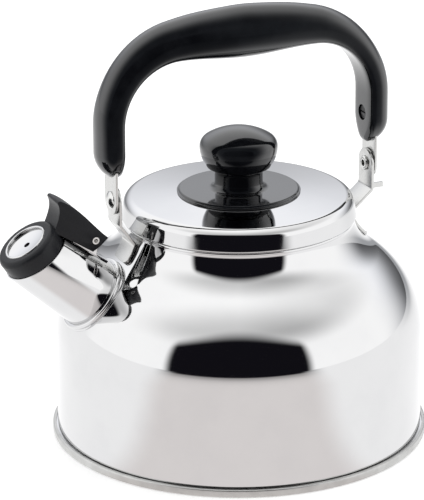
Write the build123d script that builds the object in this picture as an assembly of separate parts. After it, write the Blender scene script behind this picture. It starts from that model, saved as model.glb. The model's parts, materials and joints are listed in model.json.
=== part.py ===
from build123d import *
import math
import os

# Stovetop whistling kettle, in millimetres.
# The origin is the centre of the base on the hob, +Z is up and the spout points to -X.
# The handle stands in the plane of the spout, so its pivot pins lie along X and it swings over Y.

# ---------------------------------------------------------------- clearances
SNUG = 0.05             # between two pieces fastened to each other
RUNNING = 0.06          # radial, between a pin and what turns on it
SEAT = 0.3              # between a moving piece and what it comes to rest on
CUT = 1.0               # how far a cut runs on past what it cuts

# ---------------------------------------------------------------- body shell
WALL_R = 92.0           # outside radius of the straight wall
WALL_TOP_Z = 53.3       # where the straight wall turns into the shoulder
SHOULDER_R = 46.0       # outside radius of the shoulder arc
SHOULDER_RUN = 34.5     # from the wall in to the neck
NECK_LEAN = 10.0        # degrees from upright of the neck, just under its rim
BODY_SHEET = 0.8        # sheet thickness of the shell
RIM_RISE = 59.3         # top of the rolled rim above the top of the straight wall
RIM_ROLL_R = 1.0        # radius of the roll
RIM_PROUD = 0.3         # how far the roll stands out of the neck

# ---------------------------------------------------------------- base plate
BASE_SHEET = 1.0
SEAM_STEP = 2.5         # how far the rolled seam stands out of the wall
SEAM_H = 4.0
SEAM_ROUND = 0.45       # outside rounding of the seam
SEAM_GAP = 0.3          # slit between the seam's lip and the wall
FOOT_INSET = 14.0       # from the wall in to the flat middle that stands on the hob
FOOT_STEP = 0.8         # height of the recessed ring round the flat middle
FOOT_STEP_RUN = 2.0     # width of the slope up to the ring
RING_INSET = 3.5        # from the wall in to where the ring comes down to the seam again

# ---------------------------------------------------------------- spout
SPOUT_LATITUDE = 41.3   # degrees up the shoulder arc where the spout's axis leaves it
SPOUT_TILT = 39.6       # degrees, axis above level
SPOUT_LENGTH = 36.9     # shoulder to the middle of the mouth, along the axis
SPOUT_MOUTH_R = 16.3
SPOUT_FLARE = 1.7       # how much wider the spout is at the shoulder
SPOUT_SHEET = 0.8
SPOUT_INSIDE = 7.0      # how far the tube reaches into the body
MOUTH_TILT = 56.0       # degrees, the mouth's normal above level
COLLAR_STEP = 2.1       # how far the collar stands out of the spout
COLLAR_BEAD_R = 1.15    # radius of each bead round the collar
COLLAR_DEPTH = 9.0      # blank length before the body's curve trims it

# ---------------------------------------------------------------- lid
LID_OVERHANG = 1.3      # how far the lid's foot stands out past the neck
LID_LEAN = 10.0         # degrees from upright of the band above the foot
LID_H = 10.9            # lid's foot to the top of the rounding over the band
LID_ROUND_R = 4.8
LID_RISE = 1.5          # from there up to the flat pad under the knob seat
LID_SHEET = 0.7
SKIRT_PLAY = 0.5        # between the skirt and the rolled rim
SKIRT_DEPTH = 12.0      # how far the skirt hangs below its flange
SKIRT_LIP = 1.6

# ---------------------------------------------------------------- knob
SEAT_DISC_R = 30.0
SEAT_LIP_STEP = 0.8
SEAT_LIP_H = 0.9
SEAT_DISC_H = 1.8
KNOB_R = 19.5
KNOB_H = 31.2
KNOB_EDGE_ROUND = 6.0   # rounding between the crown and the widest place
KNOB_WIDEST_H = 21.4    # height of the widest place above the knob's foot
KNOB_UNDER_H = 11.5     # and of the end of the hollow under it
KNOB_BULGE = 1.0        # how full the side is between those two
KNOB_UNDER_R = 16.0
STEM_R = 12.0
STEM_FOOT_R = 15.0
STEM_FLARE_H = 3.6
INSERT_R = 4.0
INSERT_LENGTH = 13.0
INSERT_RECESS = 0.8     # insert's end above the knob's foot
INSERT_FLOOR = 1.0      # closed end above the thread
INSERT_GROOVE_W = 2.0   # groove that keeps the insert in the knob
INSERT_GROOVE_DEPTH = 0.8
KNOB_SCREW_R = 2.4
KNOB_SCREW_GRIP = 9.0   # thread engaged in the insert
SCREW_HEAD_R = 4.6
SCREW_HEAD_H = 2.6
SCREW_SLOT = 0.8        # width of the slots in the screws' heads
WASHER_R = 9.0
WASHER_H = 1.0

# ---------------------------------------------------------------- handle pivots
HANDLE_SHIFT = 2.1      # the handle's middle lies this far behind the body's axis
PIVOT_RISE = 17.5       # pivot pins above the rim
EAR_CLEAR = 10.5        # neck to the inner face of an ear, at the pivot
EAR_SHEET = 1.4
EAR_HALF_W = 7.4
EAR_NECK_LEAN = 22.0    # degrees from upright of the neck where an ear comes away from it
EAR_BEND_RUN = 2.0      # from there on to the first bend
EAR_KINK_DROP = 12.2    # pivot down to the second bend
FRONT_FOOT_LEAN = 42.0  # and at the end of the front ear's foot, short of the spout's collar
REAR_FOOT_LEAN = 56.0
EAR_FOOT_ROUND = 3.0
EAR_BEND_R = 2.5        # bends of the ear, along its middle
FRICTION_WASHER_R = 6.2
FRICTION_WASHER_H = 0.4
RIVET_R = 2.4
RIVET_HEAD_R = 4.4
RIVET_HEAD_H = 2.0
RIVET_ROLL_R = 3.7      # outside radius of the rolled end
RIVET_ROLL_H = 1.2
RIVET_HOLE_R = 1.7
RIVET_HOLE_DEPTH = 4.0
STOP_TAB_LENGTH = 5.2
STOP_TAB_H = 2.6
STOP_TAB_DROP = 8.9     # pivot down to the top of the tab
STOP_TAB_T = 1.5

# ---------------------------------------------------------------- handle
STRAP_SHEET = 1.2
STRAP_HALF_W = 7.3
STRAP_DEPTH = 24.0      # how far each strap is buried in the grip
LEG_COVER = 3.95        # grip's thickness between its inner face and the strap
LEG_THICK = 12.8
LEG_HALF_W = 10.5
LEG_END_RISE = 11.4     # pivot up to the ends of the legs
LEG_LENGTH = 26.5       # to where the straight legs start to curve
CORNER_RISE = 29.9      # height of the inner corner curve
BELLY = 2.8             # how far the underside hangs lower in the middle
CORNER_RUN = 28.9       # length of the inner corner curve along X
CROWN_THICK = 25.8
CROWN_HALF_W = 12.6
GRIP_WIDEST = 0.42      # where the section is widest, in parts of its thickness
LEG_SQUARENESS = 5.0    # power of the curve on the section's inner side, 2 is an ellipse
CROWN_SQUARENESS = 2.4
GRIP_POINTS = 24        # points round each section
CORNER_STATIONS = (0, 22, 42, 60, 76)       # degrees round the corner that have a section
CROWN_STATIONS = (0.95, 0.7, 0.45, 0.2)     # and parts of the way out from the middle
GRIP_TRIM = 2.0         # length of the legs' blank below their rounded ends
FRONT_SWELL = 0.10      # where the grip starts to thicken, along the way from leg to middle
REAR_SWELL = 0.16
LEG_END_ROUND_IN = 3.0
LEG_END_FLAT = 1.3      # flat left between the roundings of a leg's end, seen from the side
LEG_END_SIDE_FLAT = 1.0 # and half of the one that is left as seen from the end
LEG_END_ROUND_H = 13.0  # height of the roundings, apart from the inner one
GRIP_SCREW_RISE = 15.5  # leg's end up to the screw
GRIP_RECESS_R = 4.0
GRIP_RECESS_DEPTH = 2.4
GRIP_SCREW_R = 1.5
GRIP_SCREW_LENGTH = 9.0
GRIP_SCREW_HEAD_R = 3.3
GRIP_SCREW_HEAD_H = 1.6

# ---------------------------------------------------------------- whistle flap
PIN_ACROSS = 27.315     # mouth's middle to the pin, along the mouth
PIN_DROP = 11.526       # and below the mouth
PIN_R = 1.8
PIN_HOLE_R = 1.0
PIN_HOLE_DEPTH = 3.0
PIN_PROUD = 0.4         # how far the pin's ends stand out of the lever
LEVER_HALF_W = 7.0
CHEEK_T = 1.7
LEVER_WEB_T = 2.2
LEVER_HOLLOW_REACH = 13.6   # pin to the front end of the space between the cheeks
LEVER_HOLLOW_TOP = 19.5     # pin to the top of the web there
LEVER_BACK_GAP = 5.5    # pin to the web's end, where the space is open at the back
LEVER_TIP = (-17.9, 22.7)           # the lever's side view, from the pin's axis
LEVER_BACK = ((-12.6, 19.5), (-2.6, 10.0))
LEVER_TAIL = (6.7, 0.5)
LEVER_HEEL = (2.4, -3.3)
LEVER_TOE = (-1.5, -5.6)
LEVER_THUMB = ((-19.4, 13.2), (-18.6, 17.9))
LEVER_HORN = (-19.5, 21.6)
LEVER_NOSE = (-19.0, 22.6)
CAP_INSET = 0.3         # cap's edge inside the spout's
CAP_H = 9.3
CAP_ROUND = 2.6
BRACKET_SHEET = 0.8
BRACKET_PLAY = 0.35     # between lugs and cheeks
LUG_R = 3.3
SADDLE_START = 4.5      # ends of the saddle along the spout's axis
SADDLE_END = 27.0
SPRING_WIRE_R = 0.35
SPRING_COIL_R = 2.7
SPRING_TURNS = 4        # whole turns, besides the part turn between the two legs
SPRING_PITCH = 0.9
SPRING_FOOT_ANGLE = -40 # degrees round the pin where the leg to the saddle leaves the coil
SPRING_FOOT_LENGTH = 4.8
SPRING_ARM_ANGLE = 70   # and where the leg to the lever does
CAP_RING_W = 4.8        # width of the cap's ring round the whistle
WHISTLE_SHEET = 0.5
WHISTLE_HOLE_R = 1.6
FRONT_DISH = 0.9        # how far the front plate is dished
BACK_DISH = 0.2
DISH_SHARE = 0.75       # part of a dish's depth that is left half way out
WHISTLE_GAP = 4.6       # between the two plates
WHISTLE_DROP = 0.9      # front plate's edge below the cap's face
CUP_TAIL = 2.7          # how far the cup hangs into the mouth
CUP_ROLL_R = 0.5

# ---------------------------------------------------------------- sizes that follow
NECK_R = WALL_R - SHOULDER_RUN
RIM_Z = WALL_TOP_Z + RIM_RISE
SEAM_R = WALL_R + SEAM_STEP
FOOT_R = WALL_R - FOOT_INSET
RING_EDGE_R = WALL_R - RING_INSET
SPOUT_ROOT_R = SPOUT_MOUTH_R + SPOUT_FLARE
COLLAR_R = SPOUT_ROOT_R + COLLAR_STEP
LID_R = NECK_R + LID_OVERHANG
LID_SEAT_Z = RIM_Z + SEAT
LID_EDGE_Z = LID_SEAT_Z + LID_H
LID_PAD_Z = LID_EDGE_Z + LID_RISE
SEAT_LIP_R = SEAT_DISC_R + SEAT_LIP_STEP
KNOB_FOOT_Z = LID_PAD_Z + SEAT_DISC_H
KNOB_TOP_Z = KNOB_FOOT_Z + KNOB_H
KNOB_WIDEST_Z = KNOB_FOOT_Z + KNOB_WIDEST_H
KNOB_UNDER_Z = KNOB_FOOT_Z + KNOB_UNDER_H
PIVOT_Z = RIM_Z + PIVOT_RISE
EAR_KINK_Z = PIVOT_Z - EAR_KINK_DROP
EAR_REACH = NECK_R + EAR_CLEAR
EAR_MID = EAR_REACH + EAR_SHEET / 2
EAR_OUT = EAR_REACH + EAR_SHEET
WASHER_OUT = EAR_OUT + FRICTION_WASHER_H
STRAP_IN = WASHER_OUT + SNUG
STRAP_OUT = STRAP_IN + STRAP_SHEET
LEG_REACH = STRAP_IN - LEG_COVER
LEG_END_Z = PIVOT_Z + LEG_END_RISE
LEG_TOP_Z = LEG_END_Z + LEG_LENGTH
ARCH_Z = LEG_TOP_Z + CORNER_RISE
CORNER_X = LEG_REACH - CORNER_RUN
CORNER_WAY = math.pi / 2 * math.hypot(CORNER_RUN, CORNER_RISE) / math.sqrt(2)
LEG_END_ROUND_OUT = LEG_THICK - LEG_END_FLAT - LEG_END_ROUND_IN
LEG_END_ROUND_SIDE = LEG_HALF_W - LEG_END_SIDE_FLAT
GRIP_SCREW_Z = LEG_END_Z + GRIP_SCREW_RISE
CAP_R = SPOUT_MOUTH_R - CAP_INSET
WHISTLE_R = CAP_R - CAP_RING_W


# ---------------------------------------------------------------- helpers
def turned(*lines):
    """Solid turned about Z from a closed outline given as (radius, height)."""
    return revolve(Plane.XZ * make_face(Curve() + list(lines)), Axis.Z)


def quarter(centre, x_radius, z_radius, start):
    """Quarter of an ellipse, from start degrees on."""
    return EllipticalCenterArc(centre, x_radius, z_radius, start, arc_size=90)


def ring(outer_r, inner_r, low, high):
    """Plain ring about Z."""
    height = high - low
    blank = Cylinder(outer_r, height, align=(Align.CENTER, Align.CENTER, Align.MIN))
    if inner_r > 0:
        blank -= Cylinder(inner_r, height, align=(Align.CENTER, Align.CENTER, Align.MIN))
    return Pos(0, 0, low) * blank


def on_arc(centre, radius, degrees):
    """Point of an arc in the XZ plane, as (x, z)."""
    angle = math.radians(degrees)
    return centre[0] + radius * math.cos(angle), centre[1] + radius * math.sin(angle)


def slab(outline, half_width):
    """Outline in the XZ plane, made a slab that is centred on Y = 0."""
    return extrude(Plane.XZ * outline, amount=half_width, both=True)


def rod_x(radius, start_x, end_x, y, z):
    """Round rod along X."""
    length = abs(end_x - start_x)
    rod = Cylinder(radius, length, rotation=(0, 90, 0))
    return Pos((start_x + end_x) / 2, y, z) * rod


def rod_y(radius, half_length, x, z):
    """Round rod along Y, centred on Y = 0."""
    return Pos(x, 0, z) * Cylinder(radius, 2 * half_length, rotation=(90, 0, 0))


def save(name, shape):
    shape.label = name
    export_step(shape, f"parts/{name}.step")
    print(f"{name:24s} {shape.volume:12.1f} mm3  solids {len(shape.solids())}")


# ---------------------------------------------------------------- body shell
ARC_CENTRE = (WALL_R - SHOULDER_R, WALL_TOP_Z)
NECK_TOP = (NECK_R, RIM_Z - 2 * RIM_ROLL_R)


def neck_sweep():
    """Radius and centre of the hollow arc that joins neck and shoulder without a kink."""
    across = NECK_TOP[0] - ARC_CENTRE[0]
    up = NECK_TOP[1] - ARC_CENTRE[1]
    lean = math.radians(NECK_LEAN)
    along = across * math.cos(lean) + up * math.sin(lean)
    radius = (across ** 2 + up ** 2 - SHOULDER_R ** 2) / (2 * (SHOULDER_R - along))
    return radius, on_arc(NECK_TOP, radius, NECK_LEAN)


SWEEP_R, SWEEP_CENTRE = neck_sweep()
ARC_END = math.degrees(math.atan2(
    SWEEP_CENTRE[1] - ARC_CENTRE[1], SWEEP_CENTRE[0] - ARC_CENTRE[0]))


def body_volume(inset):
    """All that the shell encloses, measured inset millimetres inside its outer face."""
    wall = WALL_R - inset
    arc_r = SHOULDER_R - inset
    sweep_r = SWEEP_R + inset
    neck = on_arc(SWEEP_CENTRE, sweep_r, 180 + NECK_LEAN)
    return turned(
        Line((0, BASE_SHEET), (wall, BASE_SHEET)),
        Line((wall, BASE_SHEET), (wall, WALL_TOP_Z)),
        CenterArc(ARC_CENTRE, arc_r, 0, ARC_END),
        CenterArc(SWEEP_CENTRE, sweep_r, 180 + NECK_LEAN, ARC_END - NECK_LEAN),
        Line(neck, (neck[0], RIM_Z - RIM_ROLL_R)),
        Line((neck[0], RIM_Z - RIM_ROLL_R), (0, RIM_Z - RIM_ROLL_R)),
        Line((0, RIM_Z - RIM_ROLL_R), (0, BASE_SHEET)),
    )


def axis_plane(distance):
    """Plane square to the spout's axis, distance millimetres out from the shoulder."""
    latitude = math.radians(SPOUT_LATITUDE)
    tilt = math.radians(SPOUT_TILT)
    root_x = -(ARC_CENTRE[0] + SHOULDER_R * math.cos(latitude))
    root_z = ARC_CENTRE[1] + SHOULDER_R * math.sin(latitude)
    out = (-math.cos(tilt), 0, math.sin(tilt))
    origin = (root_x + distance * out[0], 0, root_z + distance * out[2])
    return Plane(origin=origin, x_dir=(0, 1, 0), z_dir=out)


def spout_radius(distance):
    """Outside radius of the spout at a distance along its axis."""
    slope = (SPOUT_MOUTH_R - SPOUT_ROOT_R) / SPOUT_LENGTH
    return SPOUT_ROOT_R + slope * distance


def spout_cone(start, end, extra):
    """Cone of the spout between two distances, extra millimetres fatter."""
    blank = Cone(spout_radius(start) + extra, spout_radius(end) + extra, end - start,
                 align=(Align.CENTER, Align.CENTER, Align.MIN))
    return axis_plane(start).location * blank


def body_shell():
    shell = body_volume(0) - body_volume(BODY_SHEET)
    roll_x = NECK_R - RIM_ROLL_R + RIM_PROUD
    roll = turned(CenterArc((roll_x, RIM_Z - RIM_ROLL_R), RIM_ROLL_R, 0, 360))
    hem = ring(SEAM_R - BASE_SHEET, WALL_R - BODY_SHEET, BASE_SHEET, SEAM_H - BASE_SHEET)
    spout_hole = spout_cone(-SPOUT_INSIDE - CUT, SPOUT_INSIDE, SNUG)
    return shell + roll + hem - spout_hole


def base_plate():
    top = BASE_SHEET
    seam_in = SEAM_R - BASE_SHEET
    lip_in = WALL_R + SEAM_GAP
    seam_foot_r = RING_EDGE_R + FOOT_STEP_RUN
    outline = Polyline(
        (0, 0), (FOOT_R, 0), (FOOT_R + FOOT_STEP_RUN, FOOT_STEP), (RING_EDGE_R, FOOT_STEP),
        (seam_foot_r, 0), (SEAM_R, 0), (SEAM_R, SEAM_H), (lip_in, SEAM_H),
        (lip_in, SEAM_H - top), (seam_in, SEAM_H - top), (seam_in, top), (seam_foot_r, top),
        (RING_EDGE_R, FOOT_STEP + top), (FOOT_R + FOOT_STEP_RUN, FOOT_STEP + top),
        (FOOT_R, top), (0, top), close=True)
    plate = revolve(Plane.XZ * make_face(outline), Axis.Z)
    rounded = [edge for edge in plate.edges().filter_by(GeomType.CIRCLE)
               if abs(edge.radius - SEAM_R) < SNUG]
    return fillet(rounded, SEAM_ROUND)


# ---------------------------------------------------------------- spout
def mouth_plane(height):
    """Plane parallel to the mouth, height millimetres outside it."""
    middle = axis_plane(SPOUT_LENGTH).origin
    tilt = math.radians(MOUTH_TILT)
    out = Vector(-math.cos(tilt), 0, math.sin(tilt))
    return Plane(origin=middle + out * height, x_dir=(0, 1, 0), z_dir=out)


def spout_tube():
    reach = SPOUT_LENGTH + 2 * SPOUT_MOUTH_R
    tube = spout_cone(-SPOUT_INSIDE, reach, 0) - spout_cone(-SPOUT_INSIDE, reach, -SPOUT_SHEET)
    beyond = Box(4 * SPOUT_ROOT_R, 4 * SPOUT_ROOT_R, 2 * reach,
                 align=(Align.CENTER, Align.CENTER, Align.MIN))
    return tube - mouth_plane(0).location * beyond


def spout_collar():
    core_r = COLLAR_R - COLLAR_BEAD_R
    beads = []
    for middle in (-COLLAR_BEAD_R, -3 * COLLAR_BEAD_R):
        beads.append(ThreePointArc((core_r, middle + COLLAR_BEAD_R), (COLLAR_R, middle),
                                   (core_r, middle - COLLAR_BEAD_R)))
    low = -4 * COLLAR_BEAD_R
    collar = turned(
        Line((0, 0), (core_r, 0)),
        *beads,
        Line((core_r, low), (core_r, -COLLAR_DEPTH)),
        Line((core_r, -COLLAR_DEPTH), (0, -COLLAR_DEPTH)),
        Line((0, -COLLAR_DEPTH), (0, 0)),
    )
    collar = axis_plane(0).location * collar
    collar -= spout_cone(-COLLAR_DEPTH - CUT, CUT, SNUG)
    return collar - body_volume(0)


# ---------------------------------------------------------------- lid
def lid_volume(inset):
    """All that the lid's pressing encloses, inset millimetres inside its outer face."""
    lean = math.radians(LID_LEAN)
    round_z = LID_EDGE_Z - LID_ROUND_R
    shoulder_z = round_z + LID_ROUND_R * math.sin(lean)
    shoulder_r = LID_R - (shoulder_z - LID_SEAT_Z) * math.tan(lean)
    centre = (shoulder_r - LID_ROUND_R * math.cos(lean), round_z)
    foot = (LID_R - inset / math.cos(lean), LID_SEAT_Z)
    pad_z = LID_PAD_Z - inset
    slope = math.degrees(math.atan2(LID_RISE, centre[0] - SEAT_LIP_R))
    rounding = CenterArc(centre, LID_ROUND_R - inset, LID_LEAN, 90 - slope - LID_LEAN)
    return turned(
        Line((0, LID_SEAT_Z), foot),
        Line(foot, rounding @ 0),
        rounding,
        Line(rounding @ 1, (SEAT_LIP_R, pad_z)),
        Line((SEAT_LIP_R, pad_z), (0, pad_z)),
        Line((0, pad_z), (0, LID_SEAT_Z)),
    )


def lid_shell():
    bolt_hole = ring(KNOB_SCREW_R + SNUG, 0, LID_SEAT_Z, LID_PAD_Z + CUT)
    return lid_volume(0) - lid_volume(LID_SHEET) - bolt_hole


def lid_skirt():
    rim_inner_r = NECK_R + RIM_PROUD - 2 * RIM_ROLL_R
    outer_r = rim_inner_r - SKIRT_PLAY
    inner_r = outer_r - LID_SHEET
    top = LID_SEAT_Z + LID_SHEET
    low = LID_SEAT_Z - SKIRT_DEPTH
    lean = math.radians(LID_LEAN)
    flange_r = LID_R - LID_SHEET * (1 / math.cos(lean) + math.tan(lean)) - SNUG
    flange = ring(flange_r, inner_r, LID_SEAT_Z, top)
    skirt = ring(outer_r, inner_r, low, top)
    lip = ring(outer_r, inner_r - SKIRT_LIP, low, low + LID_SHEET)
    return flange + skirt + lip


# ---------------------------------------------------------------- knob
def knob_seat():
    lip = ring(SEAT_LIP_R, 0, LID_PAD_Z, LID_PAD_Z + SEAT_LIP_H)
    disc = ring(SEAT_DISC_R, 0, LID_PAD_Z, KNOB_FOOT_Z)
    top_edge = disc.edges().filter_by(GeomType.CIRCLE).sort_by(Axis.Z)[-1]
    disc = fillet(top_edge, SEAT_LIP_H)
    bolt_hole = ring(KNOB_SCREW_R + SNUG, 0, LID_PAD_Z - CUT, KNOB_FOOT_Z + CUT)
    return disc + lip - bolt_hole


def crown(radius, low, top, edge_round):
    """Two arcs from the widest place of a domed top to its middle."""
    height = top - low
    dome_r = (radius ** 2 + height ** 2 - 2 * radius * edge_round) / (2 * (height - edge_round))
    slope = math.degrees(math.atan2(low - (top - dome_r), radius - edge_round))
    edge = CenterArc((radius - edge_round, low), edge_round, 0, slope)
    return edge, CenterArc((0, top - dome_r), dome_r, slope, 90 - slope)


def knob():
    stem_low = KNOB_FOOT_Z + STEM_FLARE_H
    stem_high = KNOB_UNDER_Z - STEM_FLARE_H
    flare_run = STEM_FOOT_R - STEM_R
    under_run = KNOB_UNDER_R - STEM_R
    belly = (KNOB_R, KNOB_WIDEST_Z)
    under = (KNOB_UNDER_R, KNOB_UNDER_Z)
    bulge = ((KNOB_R + KNOB_UNDER_R) / 2 + KNOB_BULGE, (KNOB_WIDEST_Z + KNOB_UNDER_Z) / 2)
    blank = turned(
        Line((0, KNOB_FOOT_Z), (STEM_FOOT_R, KNOB_FOOT_Z)),
        quarter((STEM_FOOT_R, stem_low), flare_run, STEM_FLARE_H, 180),
        Line((STEM_R, stem_low), (STEM_R, stem_high)),
        quarter((KNOB_UNDER_R, stem_high), under_run, STEM_FLARE_H, 90),
        ThreePointArc(under, bulge, belly),
        *crown(KNOB_R, KNOB_WIDEST_Z, KNOB_TOP_Z, KNOB_EDGE_ROUND),
        Line((0, KNOB_TOP_Z), (0, KNOB_FOOT_Z)),
    )
    socket = ring(INSERT_R + SNUG, 0, KNOB_FOOT_Z - CUT,
                  KNOB_FOOT_Z + INSERT_RECESS + INSERT_LENGTH + SNUG)
    return blank - socket


def knob_insert():
    low = KNOB_FOOT_Z + INSERT_RECESS
    insert = ring(INSERT_R, 0, low, low + INSERT_LENGTH)
    middle = low + INSERT_LENGTH / 2
    groove = ring(INSERT_R + CUT, INSERT_R - INSERT_GROOVE_DEPTH,
                  middle - INSERT_GROOVE_W / 2, middle + INSERT_GROOVE_W / 2)
    bore = ring(KNOB_SCREW_R + SNUG, 0, low - CUT, low + INSERT_LENGTH - INSERT_FLOOR)
    return insert - groove - bore


def knob_washer():
    top = LID_PAD_Z - LID_SHEET
    return ring(WASHER_R, KNOB_SCREW_R + SNUG, top - WASHER_H, top)


def knob_screw():
    head_top = LID_PAD_Z - LID_SHEET - WASHER_H
    tip = KNOB_FOOT_Z + INSERT_RECESS + KNOB_SCREW_GRIP
    shank = ring(KNOB_SCREW_R, 0, head_top, tip)
    head = ring(SCREW_HEAD_R, 0, head_top - SCREW_HEAD_H, head_top)
    low_edge = head.edges().filter_by(GeomType.CIRCLE).sort_by(Axis.Z)[0]
    head = fillet(low_edge, SCREW_HEAD_H / 2)
    blade = Box(SCREW_HEAD_R, SCREW_SLOT, SCREW_HEAD_H)
    cross = blade + Rot(0, 0, 90) * blade
    return shank + head - Pos(0, 0, head_top - SCREW_HEAD_H) * cross


# ---------------------------------------------------------------- ears and pivots
def ear(top_x, foot_lean):
    """Bent strip on the +X side: it lies on the hollow of the neck, with its plate at top_x."""
    lie_r = SWEEP_R - SNUG - EAR_SHEET / 2
    foot = on_arc(SWEEP_CENTRE, lie_r, 180 + foot_lean)
    lean = math.radians(EAR_NECK_LEAN)
    lying = CenterArc(SWEEP_CENTRE, lie_r, 180 + foot_lean, EAR_NECK_LEAN - foot_lean)
    away = on_arc(SWEEP_CENTRE, lie_r, 180 + EAR_NECK_LEAN)
    bend = (away[0] - EAR_BEND_RUN * math.sin(lean), away[1] + EAR_BEND_RUN * math.cos(lean))
    upper = FilletPolyline(
        away, bend, (top_x, EAR_KINK_Z), (top_x, PIVOT_Z + EAR_HALF_W), radius=EAR_BEND_R)
    path = Plane.XZ * (Curve() + [lying, upper])
    turn = math.radians(foot_lean)
    start = Plane(origin=(foot[0], 0, foot[1]), x_dir=(0, 1, 0),
                  z_dir=(-math.sin(turn), 0, math.cos(turn)))
    strip = sweep(start * Rectangle(2 * EAR_HALF_W, EAR_SHEET), path=path)
    foot_edges = [edge for edge in strip.edges()
                  if abs(edge.length - EAR_SHEET) < SNUG and edge.center().Z < foot[1] + EAR_SHEET]
    strip = fillet(foot_edges, EAR_FOOT_ROUND)
    outline = Pos(0, PIVOT_Z) * Circle(EAR_HALF_W)
    outline += Pos(0, PIVOT_Z / 2) * Rectangle(2 * EAR_HALF_W + CUT, PIVOT_Z)
    strip &= extrude(Plane.YZ * outline, amount=2 * EAR_REACH)
    return strip - rod_x(RIVET_R + SNUG, top_x - EAR_SHEET, top_x + EAR_SHEET, 0, PIVOT_Z)


def opposite(shape):
    """The same piece on the -X side."""
    return Rot(0, 0, 180) * shape


def ear_front():
    top_x = EAR_MID - HANDLE_SHIFT
    return opposite(ear(top_x, FRONT_FOOT_LEAN))


def ear_rear():
    out = EAR_OUT + HANDLE_SHIFT
    tab = Box(STOP_TAB_LENGTH + EAR_SHEET, STOP_TAB_T, STOP_TAB_H,
              align=(Align.MIN, Align.MIN, Align.MAX))
    tab = Pos(out - EAR_SHEET, -EAR_HALF_W, PIVOT_Z - STOP_TAB_DROP) * tab
    strip = ear(EAR_MID + HANDLE_SHIFT, REAR_FOOT_LEAN)
    return strip + tab


def pivot_rivet(shift):
    """Rivet on the +X side; shift is the handle's middle as seen from that side."""
    head_x = STRAP_OUT + SNUG + shift
    roll_x = EAR_REACH + shift
    shank = rod_x(RIVET_R, roll_x - RIVET_ROLL_H, head_x, 0, PIVOT_Z)
    dome_r = (RIVET_HEAD_R ** 2 + RIVET_HEAD_H ** 2) / (2 * RIVET_HEAD_H)
    slope = math.degrees(math.atan2(dome_r - RIVET_HEAD_H, RIVET_HEAD_R))
    head = turned(
        Line((0, 0), (RIVET_HEAD_R, 0)),
        CenterArc((0, RIVET_HEAD_H - dome_r), dome_r, slope, 90 - slope),
        Line((0, RIVET_HEAD_H), (0, 0)),
    )
    head = Pos(head_x, 0, PIVOT_Z) * Rot(0, 90, 0) * head
    roll = Pos(roll_x - RIVET_ROLL_H / 2, 0, PIVOT_Z) * Rot(0, 90, 0) * Torus(
        RIVET_ROLL_R - RIVET_ROLL_H / 2, RIVET_ROLL_H / 2)
    web = rod_x(RIVET_ROLL_R - RIVET_ROLL_H / 2, roll_x - RIVET_ROLL_H / 2, roll_x, 0, PIVOT_Z)
    end_x = roll_x - RIVET_ROLL_H
    hole = rod_x(RIVET_HOLE_R, end_x - CUT, end_x + RIVET_HOLE_DEPTH, 0, PIVOT_Z)
    return shank + head + roll + web - hole


def pivot_washer(shift):
    middle = (EAR_OUT + WASHER_OUT) / 2 + shift
    half = FRICTION_WASHER_H / 2
    washer = rod_x(FRICTION_WASHER_R, middle - half, middle + half, 0, PIVOT_Z)
    return washer - rod_x(RIVET_R + SNUG, middle - CUT, middle + CUT, 0, PIVOT_Z)


# ---------------------------------------------------------------- handle
def handle_strap(shift):
    low = PIVOT_Z
    high = LEG_END_Z + STRAP_DEPTH
    outline = Pos(0, PIVOT_Z) * Circle(STRAP_HALF_W)
    outline += Pos(0, (low + high) / 2) * Rectangle(2 * STRAP_HALF_W, high - low)
    strap = extrude(Plane.YZ * outline, amount=STRAP_SHEET)
    strap = Pos(STRAP_IN + shift, 0, 0) * strap
    near = STRAP_IN + shift - CUT
    far = STRAP_OUT + shift + CUT
    strap -= rod_x(RIVET_R + RUNNING, near, far, 0, PIVOT_Z)
    return strap - rod_x(GRIP_SCREW_R + SNUG, near, far, 0, GRIP_SCREW_Z)


def strap_slot(shift):
    """Room that the strap takes in the grip."""
    high = LEG_END_Z + STRAP_DEPTH + SNUG
    slot = Box(STRAP_SHEET + 2 * SNUG, 2 * (STRAP_HALF_W + SNUG), high - PIVOT_Z,
               align=(Align.MIN, Align.CENTER, Align.MIN))
    return Pos(STRAP_IN - SNUG + shift, 0, PIVOT_Z) * slot


def grip_screw(shift):
    seat_x = LEG_REACH + GRIP_RECESS_DEPTH + shift
    head = rod_x(GRIP_SCREW_HEAD_R, seat_x - GRIP_SCREW_HEAD_H, seat_x, 0, GRIP_SCREW_Z)
    shank = rod_x(GRIP_SCREW_R, seat_x, seat_x + GRIP_SCREW_LENGTH, 0, GRIP_SCREW_Z)
    slot = Box(GRIP_SCREW_HEAD_H, 2 * GRIP_SCREW_HEAD_R + CUT, SCREW_SLOT)
    slot = Pos(seat_x - GRIP_SCREW_HEAD_H, 0, GRIP_SCREW_Z) * slot
    return head + shank - slot


def smooth(value, start):
    """Ease from 0 at start to 1 at 1."""
    part = max(value - start, 0) / (1 - start)
    return part * part * (3 - 2 * part)


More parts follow.
